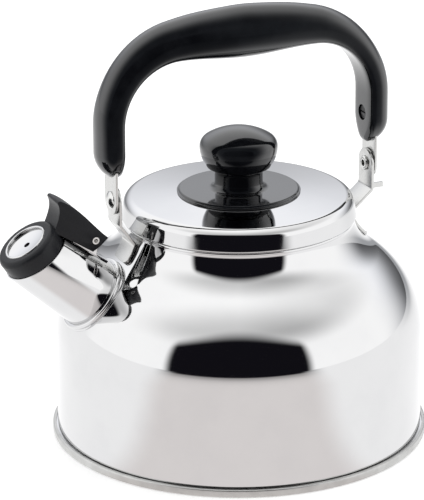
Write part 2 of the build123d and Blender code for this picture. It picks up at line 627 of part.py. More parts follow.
def grip_section(side, point, normal, way, swell):
    """Cross-section of the grip at a point of its inner line, square to that line."""
    fullness = smooth(way / (CORNER_WAY + CORNER_X), swell)
    thick = LEG_THICK + fullness * (CROWN_THICK - LEG_THICK)
    half_w = LEG_HALF_W + fullness * (CROWN_HALF_W - LEG_HALF_W)
    squareness = LEG_SQUARENESS + fullness * (CROWN_SQUARENESS - LEG_SQUARENESS)
    widest = GRIP_WIDEST * thick
    points = []
    for step in range(GRIP_POINTS):
        angle = 2 * math.pi * step / GRIP_POINTS
        inner = math.sin(angle) < 0
        power = 2 / squareness if inner else 1
        depth = widest if inner else thick - widest
        y = half_w * math.copysign(abs(math.cos(angle)) ** power, math.cos(angle))
        points.append((y, widest + depth * math.copysign(abs(math.sin(angle)) ** power,
                                                         math.sin(angle))))
    outline = Spline(points, periodic=True)
    plane = Plane(origin=(HANDLE_SHIFT + side * point[0], 0, point[1]), x_dir=(0, 1, 0),
                  z_dir=(normal[1], 0, -side * normal[0]))
    return plane * make_face(outline)


def grip_half(side, swell):
    """Sections from the end of one leg up to the middle of the grip."""
    sections = []
    for z in (LEG_END_Z - GRIP_TRIM, (LEG_END_Z + LEG_TOP_Z) / 2):
        sections.append(grip_section(side, (LEG_REACH, z), (1, 0), 0, swell))
    for degrees in CORNER_STATIONS:
        angle = math.radians(degrees)
        point = on_arc((0, 0), 1, degrees)
        point = (CORNER_X + CORNER_RUN * point[0], LEG_TOP_Z + CORNER_RISE * point[1])
        normal = Vector(math.cos(angle) / CORNER_RUN, math.sin(angle) / CORNER_RISE)
        normal = normal.normalized()
        sections.append(grip_section(side, point, (normal.X, normal.Y),
                                     CORNER_WAY * degrees / 90, swell))
    for part in CROWN_STATIONS:
        sag = BELLY * (1 + math.cos(math.pi * part)) / 2
        slope = BELLY * math.sin(math.pi * part) * math.pi / (2 * CORNER_X)
        normal = Vector(-slope, 1).normalized()
        sections.append(grip_section(side, (part * CORNER_X, ARCH_Z - sag),
                                     (normal.X, normal.Y),
                                     CORNER_WAY + (1 - part) * CORNER_X, swell))
    return sections


def end_arc(side_x, inwards, width, height):
    """Arc from a leg's straight side down to its flat end, width in from the side."""
    radius = (width ** 2 + height ** 2) / (2 * width)
    turn = math.degrees(math.acos(1 - width / radius))
    start = 180 if inwards > 0 else -turn
    return CenterArc((side_x + inwards * radius, LEG_END_Z + height), radius, start, turn)


def end_waste(low, high, low_round, high_round):
    """Side view of what two roundings, each (width, height), take off a leg's end."""
    low, high = low - SEAT, high + SEAT
    end, top = LEG_END_Z, LEG_END_Z + LEG_END_ROUND_H + CUT
    keep = make_face(Curve() + [
        Line((low, top), (low, end + low_round[1])),
        end_arc(low, 1, *low_round),
        Line((low + low_round[0], end), (high - high_round[0], end)),
        end_arc(high, -1, *high_round),
        Line((high, end + high_round[1]), (high, top)),
        Line((high, top), (low, top)),
    ])
    height = top - end + 2 * GRIP_TRIM
    block = Pos((low + high) / 2, top - height / 2) * Rectangle(high - low + LEG_THICK, height)
    return block - keep


def leg_cuts(shift):
    """What is taken off the grip at the leg on the +X side."""
    seat_x = LEG_REACH + GRIP_RECESS_DEPTH + shift
    leg_in = LEG_REACH + shift
    leg_out = leg_in + LEG_THICK
    side_round = (LEG_END_ROUND_SIDE, LEG_END_ROUND_H)
    side_view = end_waste(leg_in, leg_out, (LEG_END_ROUND_IN, LEG_END_ROUND_IN),
                          (LEG_END_ROUND_OUT, LEG_END_ROUND_H))
    end_view = end_waste(-LEG_HALF_W, LEG_HALF_W, side_round, side_round)
    cuts = [
        strap_slot(shift),
        rod_x(GRIP_RECESS_R, leg_in - GRIP_RECESS_R, seat_x, 0, GRIP_SCREW_Z),
        rod_x(GRIP_SCREW_R + SNUG, seat_x - SNUG, seat_x + GRIP_SCREW_LENGTH + CUT, 0,
              GRIP_SCREW_Z),
        slab(side_view, 2 * LEG_HALF_W),
        Pos(leg_in - LEG_THICK / 2, 0, 0) * extrude(Plane.YZ * end_view, amount=2 * LEG_THICK),
    ]
    return cuts


def handle_grip():
    rear = grip_half(1, REAR_SWELL)
    middle = grip_section(1, (0, ARCH_Z - BELLY), (0, 1), CORNER_WAY + CORNER_X, REAR_SWELL)
    front = grip_half(-1, FRONT_SWELL)
    grip = loft([*rear, middle, *reversed(front)])
    for cut in leg_cuts(HANDLE_SHIFT):
        grip -= cut
    for cut in leg_cuts(-HANDLE_SHIFT):
        grip -= opposite(cut)
    return grip


# ---------------------------------------------------------------- whistle flap
def cap_point(across, height):
    """Point beside the mouth, as (x, z): across uphill from its middle, height above it."""
    middle = mouth_plane(0).origin
    tilt = math.radians(MOUTH_TILT)
    return (middle.X + across * math.sin(tilt) - height * math.cos(tilt),
            middle.Z + across * math.cos(tilt) + height * math.sin(tilt))


PIN_X, PIN_Z = cap_point(PIN_ACROSS, -PIN_DROP)


def from_pin(x, z):
    """Point given from the pin's axis, as (x, z)."""
    return PIN_X + x, PIN_Z + z


def lever_outline():
    """Side view of the thumb lever."""
    tip = from_pin(*LEVER_TIP)
    horn = from_pin(*LEVER_HORN)
    tail = from_pin(*LEVER_TAIL)
    heel = from_pin(*LEVER_HEEL)
    toe = from_pin(*LEVER_TOE)
    under = cap_point(SPOUT_MOUTH_R, SEAT)
    root = cap_point(CAP_R - CAP_ROUND, CAP_H - CAP_ROUND)
    back = Spline(tip, *[from_pin(*point) for point in LEVER_BACK], tail)
    thumb = Spline(root, *[from_pin(*point) for point in LEVER_THUMB], horn)
    return make_face(Curve() + [
        back, Line(tail, heel), Line(heel, toe), Line(toe, under), Line(under, root), thumb,
        ThreePointArc(horn, from_pin(*LEVER_NOSE), tip)])


def lever_hollow():
    """Side view of the space between the cheeks, open downwards and behind the pin."""
    beyond = 2 * LEVER_HOLLOW_REACH
    corners = [(-LEVER_HOLLOW_REACH, -LEVER_HOLLOW_REACH)]
    for x, z in ((-LEVER_HOLLOW_REACH, LEVER_HOLLOW_TOP), LEVER_BACK[-1]):
        corners.append((x, z - LEVER_WEB_T * math.sqrt(2)))
    corners += [(0, LEVER_BACK_GAP), (beyond, beyond), (beyond, -LEVER_HOLLOW_REACH)]
    return make_face(Polyline([from_pin(*corner) for corner in corners], close=True))


def flap_lever():
    outline = lever_outline()
    lever = slab(outline, LEVER_HALF_W)
    lever -= slab(lever_hollow(), LEVER_HALF_W - CHEEK_T)
    cap = ring(CAP_R, 0, SEAT, CAP_H)
    top_edge = cap.edges().filter_by(GeomType.CIRCLE).sort_by(Axis.Z)[-1]
    cap = fillet(top_edge, CAP_ROUND)
    lever += mouth_plane(0).location * cap
    below = Box(3 * CAP_R, 3 * CAP_R, CAP_H, align=(Align.CENTER, Align.CENTER, Align.MAX))
    near_mouth = spout_cone(SPOUT_LENGTH - SPOUT_MOUTH_R, SPOUT_LENGTH + SPOUT_MOUTH_R, SEAT)
    lever -= mouth_plane(SEAT).location * below & near_mouth
    bore = ring(WHISTLE_R + SNUG, 0, -CAP_H, 2 * CAP_H)
    lever -= mouth_plane(0).location * bore
    return lever - rod_y(PIN_R + RUNNING, 2 * LEVER_HALF_W, PIN_X, PIN_Z)


def hinge_pin():
    half = LEVER_HALF_W + PIN_PROUD
    pin = rod_y(PIN_R, half, PIN_X, PIN_Z)
    for side in (1, -1):
        hole = Cylinder(PIN_HOLE_R, 2 * PIN_HOLE_DEPTH, rotation=(90, 0, 0))
        pin -= Pos(PIN_X, side * half, PIN_Z) * hole
    return pin


def hinge_bracket():
    half_w = LEVER_HALF_W - CHEEK_T - BRACKET_PLAY
    saddle = spout_cone(SADDLE_START, SADDLE_END, BRACKET_SHEET)
    saddle &= Pos(PIN_X, 0, PIN_Z) * Box(8 * CAP_R, 2 * half_w, 2 * SPOUT_ROOT_R)
    base = axis_plane((SADDLE_START + SADDLE_END) / 2).origin
    rise = axis_plane(0).z_dir
    up = Vector(rise.Z, 0, -rise.X)
    pin = Vector(PIN_X, 0, PIN_Z)
    drop = (pin - base).dot(up) - SPOUT_MOUTH_R
    foot = pin - up * drop
    corners = [pin + rise * LUG_R, foot + rise * 2 * LUG_R, foot - rise * 2 * LUG_R,
               pin - rise * LUG_R]
    lug = make_face(Polyline([(corner.X, corner.Z) for corner in corners], close=True))
    lug += Pos(PIN_X, PIN_Z) * Circle(LUG_R)
    lugs = slab(lug, half_w) - slab(lug, half_w - BRACKET_SHEET)
    bracket = saddle + lugs - spout_cone(-SPOUT_INSIDE, SPOUT_LENGTH, SNUG / 2)
    return bracket - rod_y(PIN_R + SNUG, 2 * half_w, PIN_X, PIN_Z)


def return_spring():
    """Coil round the pin with one leg on the saddle and one against the lever's front wall."""
    part_turn = (SPRING_ARM_ANGLE - SPRING_FOOT_ANGLE) / 360
    width = (SPRING_TURNS + part_turn) * SPRING_PITCH
    coil = Helix(SPRING_PITCH, width, SPRING_COIL_R)
    wire = Plane(origin=coil.position_at(0), z_dir=coil.tangent_at(0)) * Circle(SPRING_WIRE_R)
    spring = Rot(90, 0, 0) * Rot(0, 0, SPRING_FOOT_ANGLE) * sweep(wire, path=coil)
    spring = Pos(PIN_X, width / 2, PIN_Z) * spring
    arm_angle = math.radians(SPRING_ARM_ANGLE)
    arm_length = LEVER_HOLLOW_REACH + SPRING_COIL_R * math.cos(arm_angle)
    arm_length = arm_length / math.sin(arm_angle) - SPRING_WIRE_R
    for side, degrees, length in ((1, SPRING_FOOT_ANGLE, -SPRING_FOOT_LENGTH),
                                  (-1, SPRING_ARM_ANGLE, arm_length)):
        x, z = on_arc((PIN_X, PIN_Z), SPRING_COIL_R, degrees)
        angle = math.radians(degrees)
        along = Vector(-math.sin(angle), 0, math.cos(angle))
        middle = Vector(x, side * width / 2, z) + along * (length / 2)
        spring += Plane(origin=middle, z_dir=along).location * Cylinder(
            SPRING_WIRE_R, abs(length))
    return spring


def whistle_cup():
    top = CAP_H
    cup = ring(WHISTLE_R, WHISTLE_R - WHISTLE_SHEET, -CUP_TAIL, top)
    roll_r = WHISTLE_R - CUP_ROLL_R - SNUG
    roll = turned(CenterArc((roll_r, top), CUP_ROLL_R, 0, 360))
    return mouth_plane(0).location * (cup + roll)


def whistle_plate(edge_height, dish):
    """Disc with a hole in its middle, pressed inwards by dish."""
    outer_r = WHISTLE_R - WHISTLE_SHEET - SNUG
    half_way = DISH_SHARE * dish
    plate = turned(
        ThreePointArc((0, edge_height - dish), (outer_r / 2, edge_height - half_way),
                      (outer_r, edge_height)),
        Line((outer_r, edge_height), (outer_r, edge_height - WHISTLE_SHEET)),
        ThreePointArc((outer_r, edge_height - WHISTLE_SHEET),
                      (outer_r / 2, edge_height - half_way - WHISTLE_SHEET),
                      (0, edge_height - dish - WHISTLE_SHEET)),
        Line((0, edge_height - dish - WHISTLE_SHEET), (0, edge_height - dish)),
    )
    plate -= ring(WHISTLE_HOLE_R, 0, edge_height - CAP_H, edge_height + CUT)
    return mouth_plane(0).location * plate


def whistle_front_plate():
    return whistle_plate(CAP_H - WHISTLE_DROP, FRONT_DISH)


def whistle_back_plate():
    return whistle_plate(CAP_H - WHISTLE_DROP - WHISTLE_GAP, BACK_DISH)


def build():
    os.makedirs("parts", exist_ok=True)
    save("body_shell", body_shell())
    save("base_plate", base_plate())
    save("spout_tube", spout_tube())
    save("spout_collar", spout_collar())
    save("lid_shell", lid_shell())
    save("lid_skirt", lid_skirt())
    save("knob_seat", knob_seat())
    save("knob", knob())
    save("knob_insert", knob_insert())
    save("knob_washer", knob_washer())
    save("knob_screw", knob_screw())
    save("ear_front", ear_front())
    save("ear_rear", ear_rear())
    save("pivot_rivet_rear", pivot_rivet(HANDLE_SHIFT))
    save("pivot_rivet_front", opposite(pivot_rivet(-HANDLE_SHIFT)))
    save("pivot_washer_rear", pivot_washer(HANDLE_SHIFT))
    save("pivot_washer_front", opposite(pivot_washer(-HANDLE_SHIFT)))
    save("handle_strap_rear", handle_strap(HANDLE_SHIFT))
    save("handle_strap_front", opposite(handle_strap(-HANDLE_SHIFT)))
    save("grip_screw_rear", grip_screw(HANDLE_SHIFT))
    save("grip_screw_front", opposite(grip_screw(-HANDLE_SHIFT)))
    save("handle_grip", handle_grip())
    save("flap_lever", flap_lever())
    save("hinge_bracket", hinge_bracket())
    save("hinge_pin", hinge_pin())
    save("return_spring", return_spring())
    save("whistle_cup", whistle_cup())
    save("whistle_front_plate", whistle_front_plate())
    save("whistle_back_plate", whistle_back_plate())


build()
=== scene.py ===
# %% [markdown]
# # A whistling kettle for the hob
# The kettle is pressed from thin stainless steel and polished until it mirrors the room.
# Its handle, knob and whistle flap are black plastic moulded round or bolted to the steel.
# The lesson builds each of those pieces over a measured frame, gives it a finish, and then sets up
# a white studio, because a mirror finish only looks like steel when it has something to reflect.

# %% Load the measured frame
import json
import math

import bmesh
import bpy
from mathutils import Matrix, Vector

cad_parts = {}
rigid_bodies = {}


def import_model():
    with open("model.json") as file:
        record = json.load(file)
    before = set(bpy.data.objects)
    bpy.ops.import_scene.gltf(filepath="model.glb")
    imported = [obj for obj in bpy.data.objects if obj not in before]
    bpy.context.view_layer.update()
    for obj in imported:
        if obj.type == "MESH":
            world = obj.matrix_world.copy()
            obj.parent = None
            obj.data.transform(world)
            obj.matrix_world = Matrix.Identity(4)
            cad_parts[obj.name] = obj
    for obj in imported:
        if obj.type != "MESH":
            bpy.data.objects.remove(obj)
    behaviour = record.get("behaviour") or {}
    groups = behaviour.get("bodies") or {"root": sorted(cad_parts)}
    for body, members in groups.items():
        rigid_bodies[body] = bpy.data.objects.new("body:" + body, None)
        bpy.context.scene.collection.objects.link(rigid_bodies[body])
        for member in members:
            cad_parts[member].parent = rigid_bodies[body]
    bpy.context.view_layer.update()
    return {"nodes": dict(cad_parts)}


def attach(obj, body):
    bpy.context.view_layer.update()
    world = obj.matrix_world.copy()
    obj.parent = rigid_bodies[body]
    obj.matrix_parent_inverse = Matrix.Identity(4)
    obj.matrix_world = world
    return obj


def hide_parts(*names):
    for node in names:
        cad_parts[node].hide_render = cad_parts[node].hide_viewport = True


for leftover in list(bpy.data.objects):
    bpy.data.objects.remove(leftover)
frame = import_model()
MM = 0.001

# %% [markdown]
# ## Ways of making
# Almost everything on a kettle is turned or spun, so one helper does most of the modelling.
# It starts from a small plane, merges it to a single point, and extrudes that point along the
# outline of the wall. Spinning the outline about its axis then gives the piece.
# Typing vertices in would be shorter, but extruding and spinning is how it is done by hand.

# %% Choosing and finishing objects
def only(*objects):
    """Select these objects alone, and make the first one active."""
    bpy.ops.object.select_all(action="DESELECT")
    for obj in objects:
        obj.select_set(True)
    bpy.context.view_layer.objects.active = objects[0]
    return objects[0]


def apply_modifiers(obj):
    only(obj)
    for modifier in list(obj.modifiers):
        bpy.ops.object.modifier_apply(modifier=modifier.name)


def cut_away(obj, tool):
    """Take the tool's shape out of a piece, and throw the tool away."""
    cut = obj.modifiers.new("cut", "BOOLEAN")
    cut.operation = "DIFFERENCE"
    cut.solver = "EXACT"
    cut.object = tool
    apply_modifiers(obj)
    bpy.data.objects.remove(tool)


def settle(obj, crease_degrees=35):
    """Put the place into the mesh, and shade smoothly except at real edges."""
    only(obj)
    bpy.ops.object.transform_apply(location=True, rotation=True, scale=True)
    bpy.ops.object.shade_smooth_by_angle(angle=math.radians(crease_degrees))
    print(f"{obj.name}: {len(obj.data.polygons)} faces")
    return obj


# %% Tracing an outline and spinning it
SPIN_STEPS = 160
DOUBLES = 0.00001


def trace(name, points):
    """Object with one line of edges through the points, extruded one after another."""
    bpy.ops.object.select_all(action="DESELECT")
    bpy.ops.mesh.primitive_plane_add(size=MM, location=points[0])
    obj = bpy.context.object
    obj.name = obj.data.name = name
    bpy.ops.object.transform_apply(location=True)
    bpy.ops.object.mode_set(mode="EDIT")
    bpy.ops.mesh.select_all(action="SELECT")
    bpy.ops.mesh.merge(type="CENTER")
    for here, there in zip(points, points[1:]):
        step = Vector(there) - Vector(here)
        bpy.ops.mesh.extrude_region_move(TRANSFORM_OT_translate={"value": step})
    bpy.ops.object.mode_set(mode="OBJECT")
    return obj


def spun(name, outline, origin=(0, 0, 0), axis=(0, 0, 1), steps=SPIN_STEPS, crease=35):
    """Piece turned from an outline of (radius, height) in millimetres along the axis."""
    axis = Vector(axis).normalized()
    side = Vector((0, 1, 0)).cross(axis) if abs(axis.x) > DOUBLES else Vector((1, 0, 0))
    origin = Vector(origin)
    points = [origin + (side * radius + axis * height) * MM for radius, height in outline]
    obj = trace(name, points)
    bpy.ops.object.mode_set(mode="EDIT")
    bpy.ops.mesh.select_all(action="SELECT")
    bpy.ops.mesh.spin(steps=steps, angle=2 * math.pi, center=origin, axis=axis)
    bpy.ops.mesh.select_all(action="SELECT")
    bpy.ops.mesh.remove_doubles(threshold=DOUBLES)
    bpy.ops.mesh.normals_make_consistent(inside=False)
    bpy.ops.object.mode_set(mode="OBJECT")
    return settle(obj, crease)


def arc(centre, radius, start, end, steps, z_radius=None):
    """Points of an arc in an outline, from start to end degrees, (radius, height) each."""
    tall = radius if z_radius is None else z_radius
    points = []
    for step in range(steps + 1):
        angle = math.radians(start + (end - start) * step / steps)
        points.append((centre[0] + radius * math.cos(angle), centre[1] + tall * math.sin(angle)))
    return points


# %% [markdown]
# ## Body shell
# The body is one sheet of steel, 0.8 mm thick: a straight wall and a round shoulder that sweeps
# up in one hollow curve to the rolled rim. The two arcs have to meet without a kink, so the
# sweep's radius follows from where it ends and how it leans there. The outline goes up the
# outside, round the roll and down the inside, so the spun piece has real thickness and a real rim.

# %% Body sizes
WALL_R = 92.0
WALL_TOP = 53.3
SHOULDER_R = 46.0
NECK_R = 57.5
NECK_LEAN = 10
SHEET = 0.8
HEM_R = 93.5
HEM_LOW, HEM_HIGH = 1.0, 3.0
RIM_TOP = 112.6
ROLL_R = 1.0
RIM_PROUD = 0.3
arc_centre = (WALL_R - SHOULDER_R, WALL_TOP)
neck_top = RIM_TOP - 2 * ROLL_R
across, up = NECK_R - arc_centre[0], neck_top - WALL_TOP
neck_lean = math.radians(NECK_LEAN)
along_lean = across * math.cos(neck_lean) + up * math.sin(neck_lean)
sweep_r = (across ** 2 + up ** 2 - SHOULDER_R ** 2) / (2 * (SHOULDER_R - along_lean))
sweep_centre = (NECK_R + sweep_r * math.cos(neck_lean), neck_top + sweep_r * math.sin(neck_lean))
arc_end = math.degrees(math.atan2(sweep_centre[1] - WALL_TOP, sweep_centre[0] - arc_centre[0]))
print("shoulder ends at", round(arc_end, 1), "degrees, neck sweep", round(sweep_r, 1), "mm")

# %% Spin the body
roll_centre = (NECK_R - ROLL_R + RIM_PROUD, RIM_TOP - ROLL_R)
body_outline = [
    (WALL_R, HEM_HIGH),
    *arc(arc_centre, SHOULDER_R, 0, arc_end, 40),
    *arc(sweep_centre, sweep_r, 180 + arc_end, 180 + NECK_LEAN, 24)[1:],
    *arc(roll_centre, ROLL_R, -30, 215, 14),
    *arc(sweep_centre, sweep_r + SHEET, 180 + NECK_LEAN, 180 + arc_end, 24),
    *arc(arc_centre, SHOULDER_R - SHEET, arc_end, 0, 40)[1:],
    (WALL_R - SHEET, HEM_LOW),
    (HEM_R, HEM_LOW),
    (HEM_R, HEM_HIGH),
    (WALL_R, HEM_HIGH),
]
body = spun("kettle_body", body_outline, steps=240)

# %% [markdown]
# ## Spout
# The spout is a slightly tapered tube that leans out at about 40 degrees and is cut flatter than
# square, so that the cap faces the cook. A cone open at both ends is the start; one bisect gives
# the slanted mouth, and Solidify gives the wall. The same cone, a little fatter, cuts the hole in
# the body, as a press tool would.

# %% Spout axis
SPOUT_LATITUDE = 41.3
SPOUT_TILT = 39.6
SPOUT_LENGTH = 36.9
SPOUT_ROOT_R, SPOUT_MOUTH_R = 18.0, 16.3
SPOUT_INSIDE = 7.0
MOUTH_TILT = 56.0
latitude, tilt, mouth_tilt = (math.radians(a) for a in (SPOUT_LATITUDE, SPOUT_TILT, MOUTH_TILT))
spout_out = Vector((-math.cos(tilt), 0, math.sin(tilt)))
spout_root = Vector((-(arc_centre[0] + SHOULDER_R * math.cos(latitude)), 0,
                     arc_centre[1] + SHOULDER_R * math.sin(latitude))) * MM
mouth_out = Vector((-math.cos(mouth_tilt), 0, math.sin(mouth_tilt)))
mouth = spout_root + spout_out * SPOUT_LENGTH * MM
print("mouth centre in mm:", [round(v / MM, 1) for v in mouth])


def spout_cone(name, start, end, extra):
    """Open cone along the spout's axis between two distances, extra millimetres fatter."""
    slope = (SPOUT_MOUTH_R - SPOUT_ROOT_R) / SPOUT_LENGTH
    bpy.ops.object.select_all(action="DESELECT")
    bpy.ops.mesh.primitive_cone_add(
        vertices=96, depth=(end - start) * MM,
        radius1=(SPOUT_ROOT_R + slope * start + extra) * MM,
        radius2=(SPOUT_ROOT_R + slope * end + extra) * MM,
        end_fill_type="NGON" if extra > 0 else "NOTHING",
        location=spout_root + spout_out * (start + end) / 2 * MM,
        rotation=spout_out.to_track_quat("Z", "Y").to_euler())
    obj = bpy.context.object
    obj.name = obj.data.name = name
    bpy.ops.object.transform_apply(location=True, rotation=True)
    return obj


# %% Cut the spout's hole in the body
HOLE_ROOM = 0.05
cut_away(body, spout_cone("punch", -SPOUT_INSIDE, SPOUT_INSIDE, HOLE_ROOM))
settle(body)

# %% Make the spout tube
def bisect(obj, point, normal):
    """Cut the mesh at a plane and throw away what is on the normal's side."""
    only(obj)
    bpy.ops.object.mode_set(mode="EDIT")
    bpy.ops.mesh.select_all(action="SELECT")
    bpy.ops.mesh.bisect(plane_co=point, plane_no=normal, clear_outer=True)
    bpy.ops.object.mode_set(mode="OBJECT")


LIP_WIDTH = 0.25
spout = spout_cone("spout_pipe", -SPOUT_INSIDE, SPOUT_LENGTH + 2 * SPOUT_MOUTH_R, 0)
bisect(spout, mouth, mouth_out)
wall = spout.modifiers.new("wall", "SOLIDIFY")
wall.thickness = SHEET * MM
wall.offset = -1
lip = spout.modifiers.new("lip", "BEVEL")
lip.width = LIP_WIDTH * MM
lip.segments = 3
lip.limit_method = "ANGLE"
apply_modifiers(spout)
settle(spout)

# %% [markdown]
# ## Base pan
# The base is a separate pressing. Its edge is rolled up round the body's hem, which makes the
# matt ring at the foot of the wall, and a shallow recessed ring keeps the flat middle on the hob.
# It is spun like the body, with the outer corners of the roll drawn as small arcs.

# %% Spin the base pan
SEAM_R = 94.48
SEAM_H = 4.0
SEAM_ROUND = 0.9
SEAM_SLIT = 0.8
BASE_SHEET = 1.0
FOOT_R = 78.0
RING_R = 88.5
RING_STEP = 0.8
RING_RUN = 2.0
seam_in = SEAM_R - BASE_SHEET
base_outline = [
    (0, 0),
    (FOOT_R, 0),
    (FOOT_R + RING_RUN, RING_STEP),
    (RING_R, RING_STEP),
    (RING_R + RING_RUN, 0),
    *arc((SEAM_R - SEAM_ROUND, SEAM_ROUND), SEAM_ROUND, -90, 0, 6),
    *arc((SEAM_R - SEAM_ROUND, SEAM_H - SEAM_ROUND), SEAM_ROUND, 0, 90, 6),
    (WALL_R + SEAM_SLIT, SEAM_H),
    (WALL_R + SEAM_SLIT, HEM_HIGH),
    (seam_in, HEM_HIGH),
    (seam_in, HEM_LOW),
    (RING_R + RING_RUN, HEM_LOW),
    (RING_R, RING_STEP + BASE_SHEET),
    (FOOT_R + RING_RUN, RING_STEP + BASE_SHEET),
    (FOOT_R, BASE_SHEET),
    (0, BASE_SHEET),
]
base = spun("base_pan", base_outline, steps=240)

# %% [markdown]
# ## Lid
# The lid is pressed from one disc: a top that falls away gently from the middle, a round shoulder
# and a band that leans out to its foot, so that it drips clear of the neck. A mirror shows the
# smallest kink, so the shoulder's arc starts and ends where its own slope is that of the top and of
# the band. The foot's edge is turned in a little and catches a thin bright line above the rim.

# %% Lid sizes
LID_R = 58.8
LID_LOW = 112.9
LID_LEAN = 10
LID_ROUND = 4.8
LID_ROUND_TOP = 123.8
LID_PAD_R, LID_PAD_Z = 30.8, 125.3
LID_SHEET = 0.7
LID_FOOT_ROUND = 0.5
lean = math.radians(LID_LEAN)
round_z = LID_ROUND_TOP - LID_ROUND
band_top = round_z + LID_ROUND * math.sin(lean)
round_x = LID_R - (band_top - LID_LOW) * math.tan(lean) - LID_ROUND * math.cos(lean)
lid_slope = math.degrees(math.atan2(LID_PAD_Z - LID_ROUND_TOP, round_x - LID_PAD_R))
foot_x = LID_R - LID_FOOT_ROUND * (1 / math.cos(lean) + math.tan(lean))
print("the lid's top falls away at", round(lid_slope, 1), "degrees")

# %% Points that hold a straight stretch straight
def held(start, end, edge=0.3):
    """Two points just inside the ends of a stretch, so the rounding beside it can't bend it."""
    step = Vector(end) - Vector(start)
    step = step.normalized() * edge
    return [tuple(Vector(start) + step), tuple(Vector(end) - step)]


# %% Spin the lid
shoulder = arc((round_x, round_z), LID_ROUND, 90 - lid_slope, LID_LEAN, 20)
foot = arc((foot_x, LID_LOW + LID_FOOT_ROUND), LID_FOOT_ROUND, LID_LEAN, -90, 6)
lid_outline = [
    (0, LID_PAD_Z),
    (LID_PAD_R, LID_PAD_Z),
    *held((LID_PAD_R, LID_PAD_Z), shoulder[0]),
    *shoulder,
    *held(shoulder[-1], foot[0]),
    *foot,
    (LID_R - LID_SHEET / math.cos(lean), LID_LOW),
    *arc((round_x, round_z), LID_ROUND - LID_SHEET, LID_LEAN, 90 - lid_slope, 10),
    (LID_PAD_R, LID_PAD_Z - LID_SHEET),
    (0, LID_PAD_Z - LID_SHEET),
]
lid = spun("lid_pressing", lid_outline, steps=240, crease=40)

# %% [markdown]
# ## Knob and its seat
# The knob is moulded plastic: a foot that flares out, a waist for the fingers and a domed crown.
# It stands on a plastic disc that keeps its heat off the hand. Both are turned shapes, and the
# crown is two arcs that meet without a corner, because any kink would show in the gloss.

# %% Spin the knob seat
DISC_R = 30.0
DISC_H = 1.8
STEP_R = 30.8
STEP_H = 0.9
STEP_FOOT = 0.25
STEP_ROUND = 0.3
STEP_HOLLOW = 0.1
BOLT_R = 2.5
disc_top = LID_PAD_Z + DISC_H
step_top = LID_PAD_Z + STEP_H
seat_outline = [
    (BOLT_R, LID_PAD_Z),
    (STEP_R - STEP_FOOT, LID_PAD_Z),
    *arc((STEP_R - STEP_ROUND, step_top - STEP_ROUND), STEP_ROUND, 0, 90, 4),
    (DISC_R + STEP_HOLLOW, step_top),
    (DISC_R, step_top + STEP_HOLLOW),
    *arc((DISC_R - STEP_H, disc_top - STEP_H), STEP_H, 0, 90, 8),
    (BOLT_R, disc_top),
    (BOLT_R, LID_PAD_Z),
]
knob_seat = spun("knob_seat_disc", seat_outline)

# %% Spin the knob
KNOB_R = 19.5
KNOB_TOP = 158.3
KNOB_WIDEST = 148.5
KNOB_EDGE = 6.0
KNOB_UNDER_R, KNOB_UNDER_Z = 16.0, 138.6
KNOB_BULGE = 0.9
STEM_R = 12.0
STEM_FOOT_R = 15.0
STEM_FLARE = 3.6
SOCKET_R = 4.05
SOCKET_TOP = 140.95
crown_h = KNOB_TOP - KNOB_WIDEST
dome_r = (KNOB_R ** 2 + crown_h ** 2 - 2 * KNOB_R * KNOB_EDGE) / (2 * (crown_h - KNOB_EDGE))
edge_turn = math.degrees(math.atan2(KNOB_WIDEST - (KNOB_TOP - dome_r), KNOB_R - KNOB_EDGE))


def bulging(start, end, bulge, steps):
    """Points of a shallow arc between two points of an outline, without the first."""
    points = []
    for step in range(1, steps + 1):
        part = step / steps
        swell = 4 * bulge * part * (1 - part)
        points.append((start[0] + (end[0] - start[0]) * part + swell,
                       start[1] + (end[1] - start[1]) * part))
    return points


knob_outline = [
    (SOCKET_R, disc_top),
    (STEM_FOOT_R, disc_top),
    *arc((STEM_FOOT_R, disc_top + STEM_FLARE), STEM_FOOT_R - STEM_R, 270, 180, 8, STEM_FLARE),
    *arc((KNOB_UNDER_R, KNOB_UNDER_Z - STEM_FLARE), KNOB_UNDER_R - STEM_R, 180, 90, 8, STEM_FLARE),
    *bulging((KNOB_UNDER_R, KNOB_UNDER_Z), (KNOB_R, KNOB_WIDEST), KNOB_BULGE, 10),
    *arc((KNOB_R - KNOB_EDGE, KNOB_WIDEST), KNOB_EDGE, 0, edge_turn, 10)[1:],
    *arc((0, KNOB_TOP - dome_r), dome_r, edge_turn, 90, 24)[1:-1],
    (0, KNOB_TOP),
    (0, SOCKET_TOP),
    (SOCKET_R, SOCKET_TOP),
    (SOCKET_R, disc_top),
]
knob = spun("knob_moulding", knob_outline, crease=50)

# %% [markdown]
# ## Handle grip
# The grip is one moulding: two straight legs, two quick corners and a thick crown that hangs a
# little lower in the middle, so that it fills the palm. Its section changes all the way, flat on
# the inside of the legs and almost oval at the crown. A ring of edges is extruded from one leg's
# end to the other, and each new ring is fitted to the section of its place. Scaling the ring alone
# couldn't change how square it is, so its points are placed one by one.

# %% Grip sizes
HANDLE_SHIFT = 2.1
LEG_REACH = 65.9
LEG_THICK, LEG_HALF_W = 12.8, 10.5
LEG_END, LEG_TOP = 141.5, 168.0
CORNER_RUN = 28.9
ARCH = 197.88
BELLY = 2.8
CROWN_THICK, CROWN_HALF_W = 25.8, 12.6
WIDEST = 0.42
LEG_SQUARE, CROWN_SQUARE = 5.0, 2.4
FRONT_SWELL, REAR_SWELL = 0.10, 0.16
END_ROUND_H = 13.0
END_IN, END_OUT, END_SIDE = 3.0, 8.5, 9.5
RING_POINTS = 56
corner_rise = ARCH - LEG_TOP
corner_x = LEG_REACH - CORNER_RUN
corner_way = math.pi / 2 * math.hypot(CORNER_RUN, corner_rise) / math.sqrt(2)
whole_way = corner_way + corner_x


def ease(value, start):
    part = max(value - start, 0) / (1 - start)
    return part * part * (3 - 2 * part)


